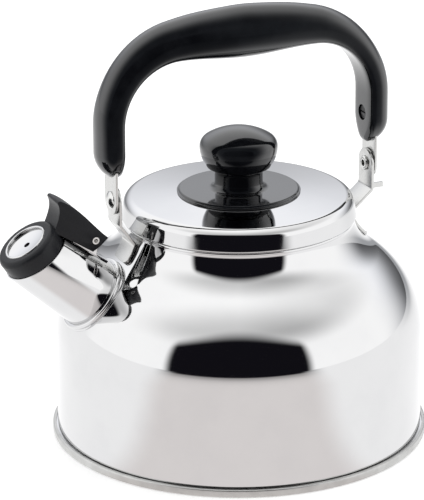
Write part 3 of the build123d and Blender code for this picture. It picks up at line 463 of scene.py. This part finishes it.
def rounded_off(height, width, tall):
    """How much an arc of that width and height takes off a side, at a height above the end."""
    if height >= tall:
        return 0
    radius = (width ** 2 + tall ** 2) / (2 * width)
    return radius - math.sqrt(max(radius ** 2 - (tall - height) ** 2, 0))


def grip_ring(side, point, normal, way, swell, above_end):
    """Places of one ring's points, in metres, at a point of the grip's inner line."""
    full = ease(way / whole_way, swell)
    thick = LEG_THICK + full * (CROWN_THICK - LEG_THICK)
    half_w = LEG_HALF_W + full * (CROWN_HALF_W - LEG_HALF_W)
    square = LEG_SQUARE + full * (CROWN_SQUARE - LEG_SQUARE)
    off_in = rounded_off(above_end, END_IN, END_IN)
    off_out = rounded_off(above_end, END_OUT, END_ROUND_H)
    half_w -= rounded_off(above_end, END_SIDE, END_ROUND_H)
    square -= (LEG_SQUARE - CROWN_SQUARE) * max(1 - above_end / END_ROUND_H, 0)
    thick -= off_in + off_out
    widest = WIDEST * thick
    ring = []
    for step in range(RING_POINTS):
        angle = 2 * math.pi * step / RING_POINTS
        inner = math.sin(angle) < 0
        power = 2 / square if inner else 1
        depth = widest if inner else thick - widest
        across = half_w * math.copysign(abs(math.cos(angle)) ** power, math.cos(angle))
        out = off_in + widest + depth * math.copysign(abs(math.sin(angle)) ** power,
                                                      math.sin(angle))
        ring.append(Vector((HANDLE_SHIFT + side * (point[0] + out * normal[0]), across,
                            point[1] + out * normal[1])) * MM)
    return ring


def half_grip(side, swell):
    """Rings from the end of one leg to just before the middle."""
    rings = []
    for above in (0, 0.5, 1.2, 2.2, 3.5, 5, 7, 9, 11, 13, 17, 22):
        rings.append(grip_ring(side, (LEG_REACH, LEG_END + above), (1, 0), 0, swell, above))
    for degrees in range(0, 90, 5):
        angle = math.radians(degrees)
        point = (corner_x + CORNER_RUN * math.cos(angle), LEG_TOP + corner_rise * math.sin(angle))
        normal = Vector((math.cos(angle) / CORNER_RUN, math.sin(angle) / corner_rise)).normalized()
        rings.append(grip_ring(side, point, normal, corner_way * degrees / 90, swell, END_ROUND_H))
    for step in range(12):
        part = 1 - step / 12
        sag = BELLY * (1 + math.cos(math.pi * part)) / 2
        slope = BELLY * math.sin(math.pi * part) * math.pi / (2 * corner_x)
        normal = Vector((-slope, 1)).normalized()
        way = corner_way + (1 - part) * corner_x
        rings.append(grip_ring(side, (part * corner_x, ARCH - sag), normal, way, swell,
                               END_ROUND_H))
    return rings


rear_rings = half_grip(1, REAR_SWELL)
middle_ring = grip_ring(1, (0, ARCH - BELLY), (0, 1), whole_way, REAR_SWELL, END_ROUND_H)
front_rings = half_grip(-1, FRONT_SWELL)
grip_rings = rear_rings + [middle_ring] + front_rings[::-1]
print("grip has", len(grip_rings), "rings")

# %% Extrude the grip ring by ring
bpy.ops.object.select_all(action="DESELECT")
bpy.ops.mesh.primitive_circle_add(vertices=RING_POINTS, radius=MM, fill_type="NOTHING")
grip = bpy.context.object
grip.name = grip.data.name = "grip_moulding"
before = [vertex.co.copy() for vertex in grip.data.vertices]
bpy.ops.object.mode_set(mode="EDIT")
bpy.ops.mesh.select_all(action="SELECT")
for number, ring in enumerate(grip_rings):
    if number:
        bpy.ops.mesh.extrude_region_move()
    mesh = bmesh.from_edit_mesh(grip.data)
    for vertex in [v for v in mesh.verts if v.select]:
        nearest = min(range(RING_POINTS), key=lambda k: (vertex.co - before[k]).length_squared)
        vertex.co = ring[nearest]
    bmesh.update_edit_mesh(grip.data)
    before = ring
bpy.ops.mesh.select_all(action="DESELECT")
bpy.ops.mesh.select_non_manifold(extend=False)
bpy.ops.mesh.edge_face_add()
bpy.ops.mesh.select_all(action="SELECT")
bpy.ops.mesh.normals_make_consistent(inside=False)
bpy.ops.object.mode_set(mode="OBJECT")
settle(grip)

# %% [markdown]
# ## Screw recesses in the grip
# A screw in the inner face of each leg holds the steel strap. It sits in a round recess, which a
# plain drum cuts out of the leg as the mould's core pin would.

# %% Cut the recesses
RECESS_Z = 157.0
RECESS_R, RECESS_DEPTH = 4.0, 2.4
for side in (1, -1):
    bpy.ops.object.select_all(action="DESELECT")
    face_x = HANDLE_SHIFT + side * LEG_REACH
    bpy.ops.mesh.primitive_cylinder_add(
        vertices=48, radius=RECESS_R * MM, depth=2 * RECESS_DEPTH * MM,
        location=Vector((face_x, 0, RECESS_Z)) * MM, rotation=(0, math.pi / 2, 0))
    drum = bpy.context.object
    bpy.ops.object.transform_apply(location=True, rotation=True)
    cut_away(grip, drum)
settle(grip)

# %% [markdown]
# ## Bent and moulded fittings
# The ears, straps, hinge bracket and whistle lever have exact places in the frame already, but
# their edges are knife sharp there. Each is copied, its loose triangles are merged into a closed
# mesh and its flat faces joined again, and a Bevel breaks the edges as tumbling or a mould would.

# %% Soften a copy of a frame piece
def softened(node, name, width, crease=35):
    """Closed copy of a frame piece with its edges broken by width millimetres."""
    only(frame["nodes"][node])
    bpy.ops.object.duplicate()
    obj = bpy.context.object
    obj.name = obj.data.name = name
    bpy.ops.object.mode_set(mode="EDIT")
    bpy.ops.mesh.select_all(action="SELECT")
    bpy.ops.mesh.customdata_custom_splitnormals_clear()
    bpy.ops.mesh.remove_doubles(threshold=DOUBLES)
    bpy.ops.mesh.dissolve_limited(angle_limit=math.radians(0.3))
    bpy.ops.object.mode_set(mode="OBJECT")
    if width:
        edges = obj.modifiers.new("broken edges", "BEVEL")
        edges.width = width * MM
        edges.segments = 3
        edges.limit_method = "ANGLE"
        edges.angle_limit = math.radians(30)
        edges.use_clamp_overlap = True
        apply_modifiers(obj)
    return settle(obj, crease)


lever = softened("flap_lever", "whistle_lever", 0.35)
front_ear = softened("ear_front", "front_ear", 0.2)
rear_ear = softened("ear_rear", "rear_ear", 0.2)
front_strap = softened("handle_strap_front", "front_strap", 0.2)
rear_strap = softened("handle_strap_rear", "rear_strap", 0.2)
bracket = softened("hinge_bracket", "flap_bracket", 0.12)

# %% [markdown]
# ## Fastening the pieces to the frame
# Every piece rides on the body it is part of, stands for the frame nodes it replaces, and names
# the finish it takes, so that it moves and can be repainted with the rest.

# %% Ride and replace
FASTENED = (
    (body, "kettle", "polished_steel", ("body_shell",)),
    (base, "kettle", "satin_base", ("base_plate",)),
    (spout, "kettle", "polished_steel", ("spout_tube",)),
    (bracket, "kettle", "polished_steel", ("hinge_bracket",)),
    (front_ear, "kettle", "satin_steel", ("ear_front",)),
    (rear_ear, "kettle", "satin_steel", ("ear_rear",)),
    (lid, "lid", "polished_steel", ("lid_shell",)),
    (knob_seat, "lid", "black_plastic", ("knob_seat",)),
    (knob, "lid", "black_plastic", ("knob",)),
    (grip, "handle", "black_plastic", ("handle_grip",)),
    (front_strap, "handle", "satin_steel", ("handle_strap_front",)),
    (rear_strap, "handle", "satin_steel", ("handle_strap_rear",)),
    (lever, "whistle_flap", "matte_black_plastic", ("flap_lever",)),
)
for piece, rides_on, finish, nodes in FASTENED:
    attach(piece, rides_on)
    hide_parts(*nodes)
print("fastened", len(FASTENED), "pieces")

# %% [markdown]
# ## Finishes
# Metal and plastic both show their finish in how sharply they reflect, far more than in colour.
# So each material gets its roughness and its faint unevenness from patterns in Object
# coordinates. The patterns that several finishes share are node groups, built once.

# %% Helpers for nodes
def add_node(tree, kind, inputs=(), **settings):
    """New node with its settings, and its inputs linked to sockets or set to numbers."""
    node = tree.nodes.new(kind)
    for label, value in settings.items():
        setattr(node, label, value)
    for label, value in dict(inputs).items():
        if isinstance(value, bpy.types.NodeSocket):
            tree.links.new(value, node.inputs[label])
        else:
            node.inputs[label].default_value = value
    return node


def soft_step(tree, value, low, high, at_low, at_high):
    """Smooth change from one level to another as the value goes from low to high."""
    step = add_node(tree, "ShaderNodeMapRange",
                    {"Value": value, "From Min": low, "From Max": high,
                     "To Min": at_low, "To Max": at_high}, interpolation_type="SMOOTHSTEP")
    return step.outputs["Result"]


def mixed(tree, mask, first, second):
    """Blend of two colours by a mask."""
    blend = add_node(tree, "ShaderNodeMix", {"Factor": mask, 6: first, 7: second}, data_type="RGBA")
    return blend.outputs[2]


# %% Helpers for node groups
def new_group(name, inputs, outputs):
    """Empty shader group with float inputs (name, value) and outputs (name, kind)."""
    group = bpy.data.node_groups.new(name, "ShaderNodeTree")
    for label, value in inputs:
        socket = group.interface.new_socket(label, in_out="INPUT", socket_type="NodeSocketFloat")
        socket.default_value = value
    for label in outputs:
        group.interface.new_socket(label, in_out="OUTPUT", socket_type="NodeSocketFloat")
    group_in, group_out = add_node(group, "NodeGroupInput"), add_node(group, "NodeGroupOutput")
    return group, group_in.outputs, group_out.inputs


def between_ends(group, pattern, ends):
    """Map a 0 to 1 pattern to the span between the group's Low and High."""
    node = add_node(group, "ShaderNodeMapRange",
                    {"Value": pattern, "To Min": ends["Low"], "To Max": ends["High"]})
    return node.outputs["Result"]


# %% Group: handling marks
# Soft smudges that dull a gloss a little, here and there.
marks, marks_in, marks_out = new_group(
    "handling marks", (("Scale", 60.0), ("Low", 0.04), ("High", 0.09)), ("Roughness", "Mask"))
place = add_node(marks, "ShaderNodeTexCoord").outputs["Object"]
smudge = add_node(marks, "ShaderNodeTexNoise", {
    "Vector": place, "Scale": marks_in["Scale"], "Detail": 4.0, "Roughness": 0.55})
smudged = soft_step(marks, smudge.outputs["Fac"], 0.35, 0.75, 0.0, 1.0)
marks.links.new(smudged, marks_out["Mask"])
marks.links.new(between_ends(marks, smudged, marks_in), marks_out["Roughness"])

# %% Group: brushed grain
# Noise drawn out along one direction, as an abrasive belt leaves it.
grain, grain_in, grain_out = new_group(
    "brushed grain", (("Across X", 1.0), ("Across Y", 1.0), ("Across Z", 1.0),
                      ("Low", 0.2), ("High", 0.4)), ("Roughness", "Height"))
place = add_node(grain, "ShaderNodeTexCoord").outputs["Object"]
draw_out = add_node(grain, "ShaderNodeCombineXYZ",
                    {axis: grain_in["Across " + axis] for axis in "XYZ"})
stretch = add_node(grain, "ShaderNodeVectorMath", {0: place, 1: draw_out.outputs["Vector"]},
                   operation="MULTIPLY")
fibre = add_node(grain, "ShaderNodeTexNoise",
                 {"Vector": stretch.outputs["Vector"], "Scale": 1.0, "Detail": 6.0})
grain.links.new(fibre.outputs["Fac"], grain_out["Height"])
grain.links.new(between_ends(grain, fibre.outputs["Fac"], grain_in), grain_out["Roughness"])
print("groups:", [group.name for group in bpy.data.node_groups])


# %% A material with its group
RELIEF_DEPTH = 0.05


def finish_with(name, colour, second_colour, metallic, group, values, bump=0.0):
    """Principled material whose roughness, colour and bump vary by a shared group."""
    material = bpy.data.materials.new(name)
    material.use_nodes = True
    tree = material.node_tree
    shader = tree.nodes["Principled BSDF"]
    shader.inputs["Metallic"].default_value = metallic
    pattern = add_node(tree, "ShaderNodeGroup", values, node_tree=group).outputs
    tree.links.new(pattern["Roughness"], shader.inputs["Roughness"])
    varied = pattern["Mask" if "Mask" in pattern else "Height"]
    shades = mixed(tree, varied, (*colour, 1), (*second_colour, 1))
    tree.links.new(shades, shader.inputs["Base Color"])
    if bump:
        relief = add_node(tree, "ShaderNodeBump", {
            "Strength": bump, "Distance": RELIEF_DEPTH * MM, "Height": varied})
        tree.links.new(relief.outputs["Normal"], shader.inputs["Normal"])
    return material


# %% [markdown]
# ### Steel finishes
# Polished steel is nearly a mirror, a touch darker than the room. The base pan is only washed
# and faced, so it stays matt grey. The ears and straps are belt-brushed along their length.

# %% Steel
polished = finish_with("polished steel", (0.665, 0.665, 0.668), (0.645, 0.645, 0.65), 1.0, marks,
                       {"Scale": 45.0, "Low": 0.03, "High": 0.055})
satin_base = finish_with("washed base steel", (0.56, 0.56, 0.55), (0.5, 0.5, 0.49), 1.0, marks,
                         {"Scale": 150.0, "Low": 0.36, "High": 0.42}, bump=0.05)
brushed = finish_with("brushed steel", (0.64, 0.64, 0.63), (0.58, 0.58, 0.57), 1.0, grain,
                      {"Across X": 9000.0, "Across Y": 9000.0, "Across Z": 350.0,
                       "Low": 0.16, "High": 0.3}, bump=0.2)
pin_steel = finish_with("plated pin steel", (0.7, 0.7, 0.69), (0.6, 0.6, 0.59), 1.0, marks,
                        {"Scale": 400.0, "Low": 0.12, "High": 0.22})
dark_screw = finish_with("blackened screw steel", (0.06, 0.06, 0.062), (0.03, 0.03, 0.03), 1.0,
                         marks, {"Scale": 500.0, "Low": 0.3, "High": 0.5}, bump=0.2)
brass = finish_with("insert brass", (0.72, 0.53, 0.24), (0.6, 0.42, 0.18), 1.0, marks,
                    {"Scale": 300.0, "Low": 0.2, "High": 0.35})

# %% [markdown]
# ### Plastic finishes
# The grip and knob are glossy phenolic, close to black with a faint blue. The whistle flap comes
# from a finer-blasted mould, so its black is softer and a little greyer.

# %% Plastics
gloss_black = finish_with("glossy black phenolic", (0.003, 0.0032, 0.0042), (0.006, 0.0065, 0.008),
                          0.0, marks, {"Scale": 90.0, "Low": 0.1, "High": 0.17}, bump=0.03)
matt_black = finish_with("satin black nylon", (0.009, 0.0095, 0.0115), (0.013, 0.0135, 0.016),
                         0.0, marks, {"Scale": 1400.0, "Low": 0.3, "High": 0.42}, bump=0.12)
matt_black.node_tree.nodes["Principled BSDF"].inputs["Specular IOR Level"].default_value = 0.22

# %% [markdown]
# The phenolic is polished to a skin that is black seen face on and shines at a slant. A coat that
# only comes in where the surface turns away from the eye gives that, over a weak gloss below.

# %% The polished skin
skin_tree = gloss_black.node_tree
slant = add_node(skin_tree, "ShaderNodeLayerWeight", {"Blend": 0.5}).outputs["Facing"]
skin = skin_tree.nodes["Principled BSDF"].inputs
skin_tree.links.new(soft_step(skin_tree, slant, 0.1, 0.34, 0.0, 1.0), skin["Coat Weight"])
skin["Coat Roughness"].default_value = 0.06
skin["Coat IOR"].default_value = 1.68
skin["Specular IOR Level"].default_value = 0.06
skin["Specular Tint"].default_value = (0.8, 0.89, 1.0, 1)

# %% Give every piece and every frame node its material
FINISHES = {
    "polished_steel": polished, "satin_base": satin_base, "satin_steel": brushed,
    "pin_steel": pin_steel, "dark_screw": dark_screw, "black_plastic": gloss_black,
    "matte_black_plastic": matt_black, "insert_brass": brass,
}


def paint(obj, material):
    obj.data.materials.clear()
    obj.data.materials.append(material)


for piece, rides_on, finish, nodes in FASTENED:
    paint(piece, FINISHES[finish])
for node in frame["nodes"].values():
    node_slot = node.material_slots[0].material.name.split(".")[0]
    paint(node, FINISHES[node_slot])
print("finishes used:", sorted(FINISHES))

# %% [markdown]
# ## Studio
# A polished kettle is best shown in a white tent with one dark opening, where the camera stands.
# The tent is the World: white to the eye, and for reflections a soft grey-white that darkens in
# the opening. The opening is a sector in front of the camera, painted by direction.

# %% The camera's place
CAMERA_SIDE = 24.5
CAMERA_AWAY = 1668.1
CAMERA_HIGH = 693.8
CAMERA_DOWN = 19.785
CAMERA_TURN = 0.46
CAMERA_ROLL = -0.24
CAMERA_LENS = 255.1
side_angle = math.radians(-CAMERA_SIDE)
camera_place = Vector((CAMERA_AWAY * math.sin(side_angle), -CAMERA_AWAY * math.cos(side_angle),
                       CAMERA_HIGH)) * MM
bpy.ops.object.camera_add(location=camera_place)
camera = bpy.context.object
camera.data.lens = CAMERA_LENS
turn = Matrix.Rotation(side_angle + math.radians(CAMERA_TURN), 3, "Z")
nod = Matrix.Rotation(math.radians(90 - CAMERA_DOWN), 3, "X")
roll = Matrix.Rotation(math.radians(CAMERA_ROLL), 3, "Z")
camera.rotation_euler = (turn @ nod @ roll).to_euler()
camera.data.clip_end = 50
bpy.context.scene.camera = camera
print("camera at", [round(v, 3) for v in camera_place])

# %% Helpers for the studio's shading
def maths(tree, operation, *values):
    return add_node(tree, "ShaderNodeMath", enumerate(values), operation=operation).outputs[0]


def mixed_level(tree, mask, first, second):
    """Blend of two levels by a mask."""
    blend = add_node(tree, "ShaderNodeMix", {"Factor": mask, "A": first, "B": second},
                     data_type="FLOAT")
    return blend.outputs[0]


def glow(tree, kind, colour, strength=1.0):
    return add_node(tree, kind, {"Color": colour, "Strength": strength}).outputs[0]


# %% Group: seen from the opening
# Turns a place or a direction so that the camera's opening is straight ahead: how far right and
# away it is, its height and distance, and its bearing from ahead in radians, right positive.
compass = bpy.data.node_groups.new("seen from the opening", "ShaderNodeTree")
compass.interface.new_socket("Vector", in_out="INPUT", socket_type="NodeSocketVector")
for label in ("Right", "Away", "Height", "Distance", "Bearing"):
    compass.interface.new_socket(label, in_out="OUTPUT", socket_type="NodeSocketFloat")
group_in = add_node(compass, "NodeGroupInput")
group_out = add_node(compass, "NodeGroupOutput")
ahead = add_node(compass, "ShaderNodeVectorRotate",
                 {"Vector": group_in.outputs["Vector"], "Angle": -side_angle},
                 rotation_type="Z_AXIS")
parts = add_node(compass, "ShaderNodeSeparateXYZ", {"Vector": ahead.outputs["Vector"]}).outputs
towards = maths(compass, "MULTIPLY", parts["Y"], -1.0)
flat_place = add_node(compass, "ShaderNodeCombineXYZ", {"X": parts["X"], "Y": parts["Y"]})
length = add_node(compass, "ShaderNodeVectorMath", {0: flat_place.outputs["Vector"]},
                  operation="LENGTH")
for label, value in (("Right", parts["X"]), ("Away", parts["Y"]), ("Height", parts["Z"]),
                     ("Distance", length.outputs["Value"]),
                     ("Bearing", maths(compass, "ARCTAN2", parts["X"], towards))):
    compass.links.new(value, group_out.inputs[label])
OPENING_HALF = math.radians(45)
OPENING_COLOUR = (0.0075, 0.007, 0.010, 1)


def compass_of(tree, vector):
    """Outputs of the group for a vector, and the bearing without its sign."""
    node = add_node(tree, "ShaderNodeGroup", node_tree=compass)
    tree.links.new(vector, node.inputs["Vector"])
    return node.outputs, maths(tree, "ABSOLUTE", node.outputs["Bearing"])


def front_mask(tree, side, soft):
    """1 inside the opening's sector, 0 outside it, with a soft border of so many radians."""
    return soft_step(tree, side, OPENING_HALF - soft, OPENING_HALF + soft, 1.0, 0.0)


# %% How bright the metal sees each part of the tent
# The roof is brightest at the back and dims towards the front and the right. Behind the kettle the
# cloth dims downwards and turns a little blue, most of all at the right.
WALL_LEVEL = 1.36
ROOF_FRONT, ROOF_BACK = 0.85, 1.4
ROOF_LOSS_RIGHT = 0.6
REAR_FOOT = 0.12
REAR_LOSS_RIGHT = 0.55
COOL = (0.97, 0.985, 1.03, 1)
WHITE = (1, 1, 1, 1)
world = bpy.data.worlds.new("white tent")
bpy.context.scene.world = world
world.use_nodes = True
world.cycles.sampling_method = "NONE"
sky = world.node_tree
sky.nodes.clear()
ray = add_node(sky, "ShaderNodeTexCoord").outputs["Generated"]
way, side = compass_of(sky, ray)
to_right = maths(sky, "MULTIPLY", maths(sky, "MAXIMUM", way["Right"], 0.0), ROOF_LOSS_RIGHT)
roof = soft_step(sky, way["Away"], -0.6, 0.15, ROOF_FRONT, ROOF_BACK)
high_up = soft_step(sky, way["Height"], 0.45, 0.8, 0.0, 1.0)
tent_level = mixed_level(sky, high_up, WALL_LEVEL, maths(sky, "SUBTRACT", roof, to_right))
rise = soft_step(sky, way["Height"], -0.12, 0.55, REAR_FOOT, 1.0)
right_rear = maths(sky, "MULTIPLY", soft_step(sky, way["Bearing"], 1.9, 2.5, 0.0, 1.0),
                   soft_step(sky, way["Bearing"], 2.85, 3.14, 1.0, 0.0))
right_low = maths(sky, "MULTIPLY", right_rear,
                  soft_step(sky, way["Height"], 0.1, 0.5, REAR_LOSS_RIGHT, 0.0))
rear_level = maths(sky, "MULTIPLY", rise, maths(sky, "SUBTRACT", 1.0, right_low))
behind = soft_step(sky, side, 1.75, 2.6, 0.0, 1.0)
level = maths(sky, "MULTIPLY", tent_level, mixed_level(sky, behind, 1.0, rear_level))
low_behind = maths(sky, "MULTIPLY", behind, soft_step(sky, way["Height"], 0.3, 0.7, 1.0, 0.0))
tint = mixed(sky, low_behind, WHITE, COOL)

# %% The tent and its opening
# The opening is arched: the further from the middle, the lower its top. Seen directly, and by what
# isn't glossy, the tent is plain white.
ARCH_FALL = 0.38
SOFT_LIGHT = 0.8
arch = maths(sky, "ADD", way["Height"],
             maths(sky, "MULTIPLY", maths(sky, "MULTIPLY", side, side), ARCH_FALL))
in_opening = maths(sky, "MULTIPLY", front_mask(sky, side, 0.06),
                   soft_step(sky, arch, 0.66, 0.86, 1.0, 0.0))
white_cloth = glow(sky, "ShaderNodeBackground", tint, level)
opening = glow(sky, "ShaderNodeBackground", OPENING_COLOUR)
mirrored = add_node(sky, "ShaderNodeMixShader", {"Fac": in_opening, 1: white_cloth, 2: opening})
path = add_node(sky, "ShaderNodeLightPath").outputs
lighting = add_node(sky, "ShaderNodeMixShader", {
    "Fac": path["Is Glossy Ray"],
    1: glow(sky, "ShaderNodeBackground", WHITE, SOFT_LIGHT),
    2: mirrored.outputs["Shader"]})
seen = add_node(sky, "ShaderNodeMixShader", {
    "Fac": path["Is Camera Ray"], 1: lighting.outputs["Shader"],
    2: glow(sky, "ShaderNodeBackground", WHITE)})
add_node(sky, "ShaderNodeOutputWorld", {"Surface": seen.outputs["Shader"]})

# %% [markdown]
# ## Floor
# The kettle stands on a pale sheet that runs out into the dark in front, where the opening of the
# tent begins. For glossy rays alone the sheet glows with a painted reflection. In the metal its
# near part shows as a warm light grey panel of painted shade that fades with distance into the
# dark. Behind, it is painted darker and bluer, and to the sides it glows a bright white. To the eye
# and for shadows it stays one plain pale floor.

# %% Floor
FLOOR_SIZE = 12.0
FLOOR_DROP = 0.2
FLOOR_LIFT = 0.3
bpy.ops.object.select_all(action="DESELECT")
bpy.ops.mesh.primitive_plane_add(size=FLOOR_SIZE, location=(0, 0, -FLOOR_DROP * MM))
floor = bpy.context.object
floor.name = "pale_floor"
floor_paint = bpy.data.materials.new("pale sheet")
floor_paint.use_nodes = True
sheet = floor_paint.node_tree
floor_shader = sheet.nodes["Principled BSDF"]
floor_shader.inputs["Base Color"].default_value = (0.86, 0.86, 0.86, 1)
floor_shader.inputs["Roughness"].default_value = 0.9
floor_shader.inputs["Specular IOR Level"].default_value = 0
floor_shader.inputs["Emission Color"].default_value = WHITE
sheet_path = add_node(sheet, "ShaderNodeLightPath").outputs
lift = soft_step(sheet, sheet_path["Is Camera Ray"], 0.0, 1.0, 0.0, FLOOR_LIFT)
sheet.links.new(lift, floor_shader.inputs["Emission Strength"])

# %% Painted reflection and shade: what the metal sees of the floor
place = add_node(sheet, "ShaderNodeTexCoord").outputs["Object"]
where, floor_side = compass_of(sheet, place)
away = where["Distance"]
in_front = front_mask(sheet, floor_side, 0.16)
# Painted reflection, seen by glossy rays alone. The sides glow brighter than white, the near front
# is a warm grey panel of painted shade that darkens with distance, and the rear is painted darker
# and bluer.
PAINTED_REFLECTION_SIDES = (1.22, 1.22, 1.225, 1)
PAINTED_SHADE_NEAR = (0.965, 0.92, 0.91, 1)
PAINTED_SHADE_FAR = (0.50, 0.48, 0.475, 1)
PAINTED_SHADE_REAR = (0.42, 0.43, 0.45, 1)
painted_near_shade = mixed(sheet, soft_step(sheet, away, 0.22, 1.0, 0.0, 1.0), PAINTED_SHADE_NEAR, PAINTED_SHADE_FAR)
# Far in front, the painted shade runs into the black of the tent's opening.
front = mixed(sheet, soft_step(sheet, away, 0.8, 2.6, 0.0, 1.0), painted_near_shade, OPENING_COLOUR)
painted_rear_shade_mask = maths(sheet, "MULTIPLY", soft_step(sheet, floor_side, 1.9, 2.75, 0.0, 1.0),
                 soft_step(sheet, away, 0.2, 1.1, 0.0, 1.0))
sides = mixed(sheet, painted_rear_shade_mask, PAINTED_REFLECTION_SIDES, PAINTED_SHADE_REAR)
# The sheet glows with these painted colours for glossy rays only: a painted reflection with painted
# shade.
painted_floor_reflection = glow(sheet, "ShaderNodeEmission", mixed(sheet, in_front, sides, front))
floor_look = add_node(sheet, "ShaderNodeMixShader", {
    "Fac": sheet_path["Is Glossy Ray"], 1: floor_shader.outputs["BSDF"], 2: painted_floor_reflection})
sheet.links.new(floor_look.outputs["Shader"], sheet.nodes["Material Output"].inputs["Surface"])
floor.data.materials.append(floor_paint)

# %% [markdown]
# ## Lamps
# Three large soft lamps above and beside the kettle give it form and a faint shadow. They are
# hidden from the metal, which would show them as hard rectangles: there it sees only the tent.

# %% Lamps
LAMPS = (
    ("overhead", (0.1, 0.1, 1.6), 1.5, 10.0),
    ("left", (-1.5, -0.9, 0.9), 1.0, 4.0),
    ("right", (1.5, -0.4, 0.9), 1.0, 4.0),
)
for lamp_name, lamp_place, size, power in LAMPS:
    bpy.ops.object.light_add(type="AREA", location=lamp_place)
    lamp = bpy.context.object
    lamp.name = lamp_name + "_lamp"
    lamp.data.size = size
    lamp.data.energy = power
    lamp.visible_glossy = False
    aim = Vector((0, 0, 0.1)) - Vector(lamp_place)
    lamp.rotation_euler = aim.to_track_quat("-Z", "Y").to_euler()

# %% [markdown]
# ## The view transform

# %% Standard view, the last line
bpy.context.scene.view_settings.view_transform = "Standard"
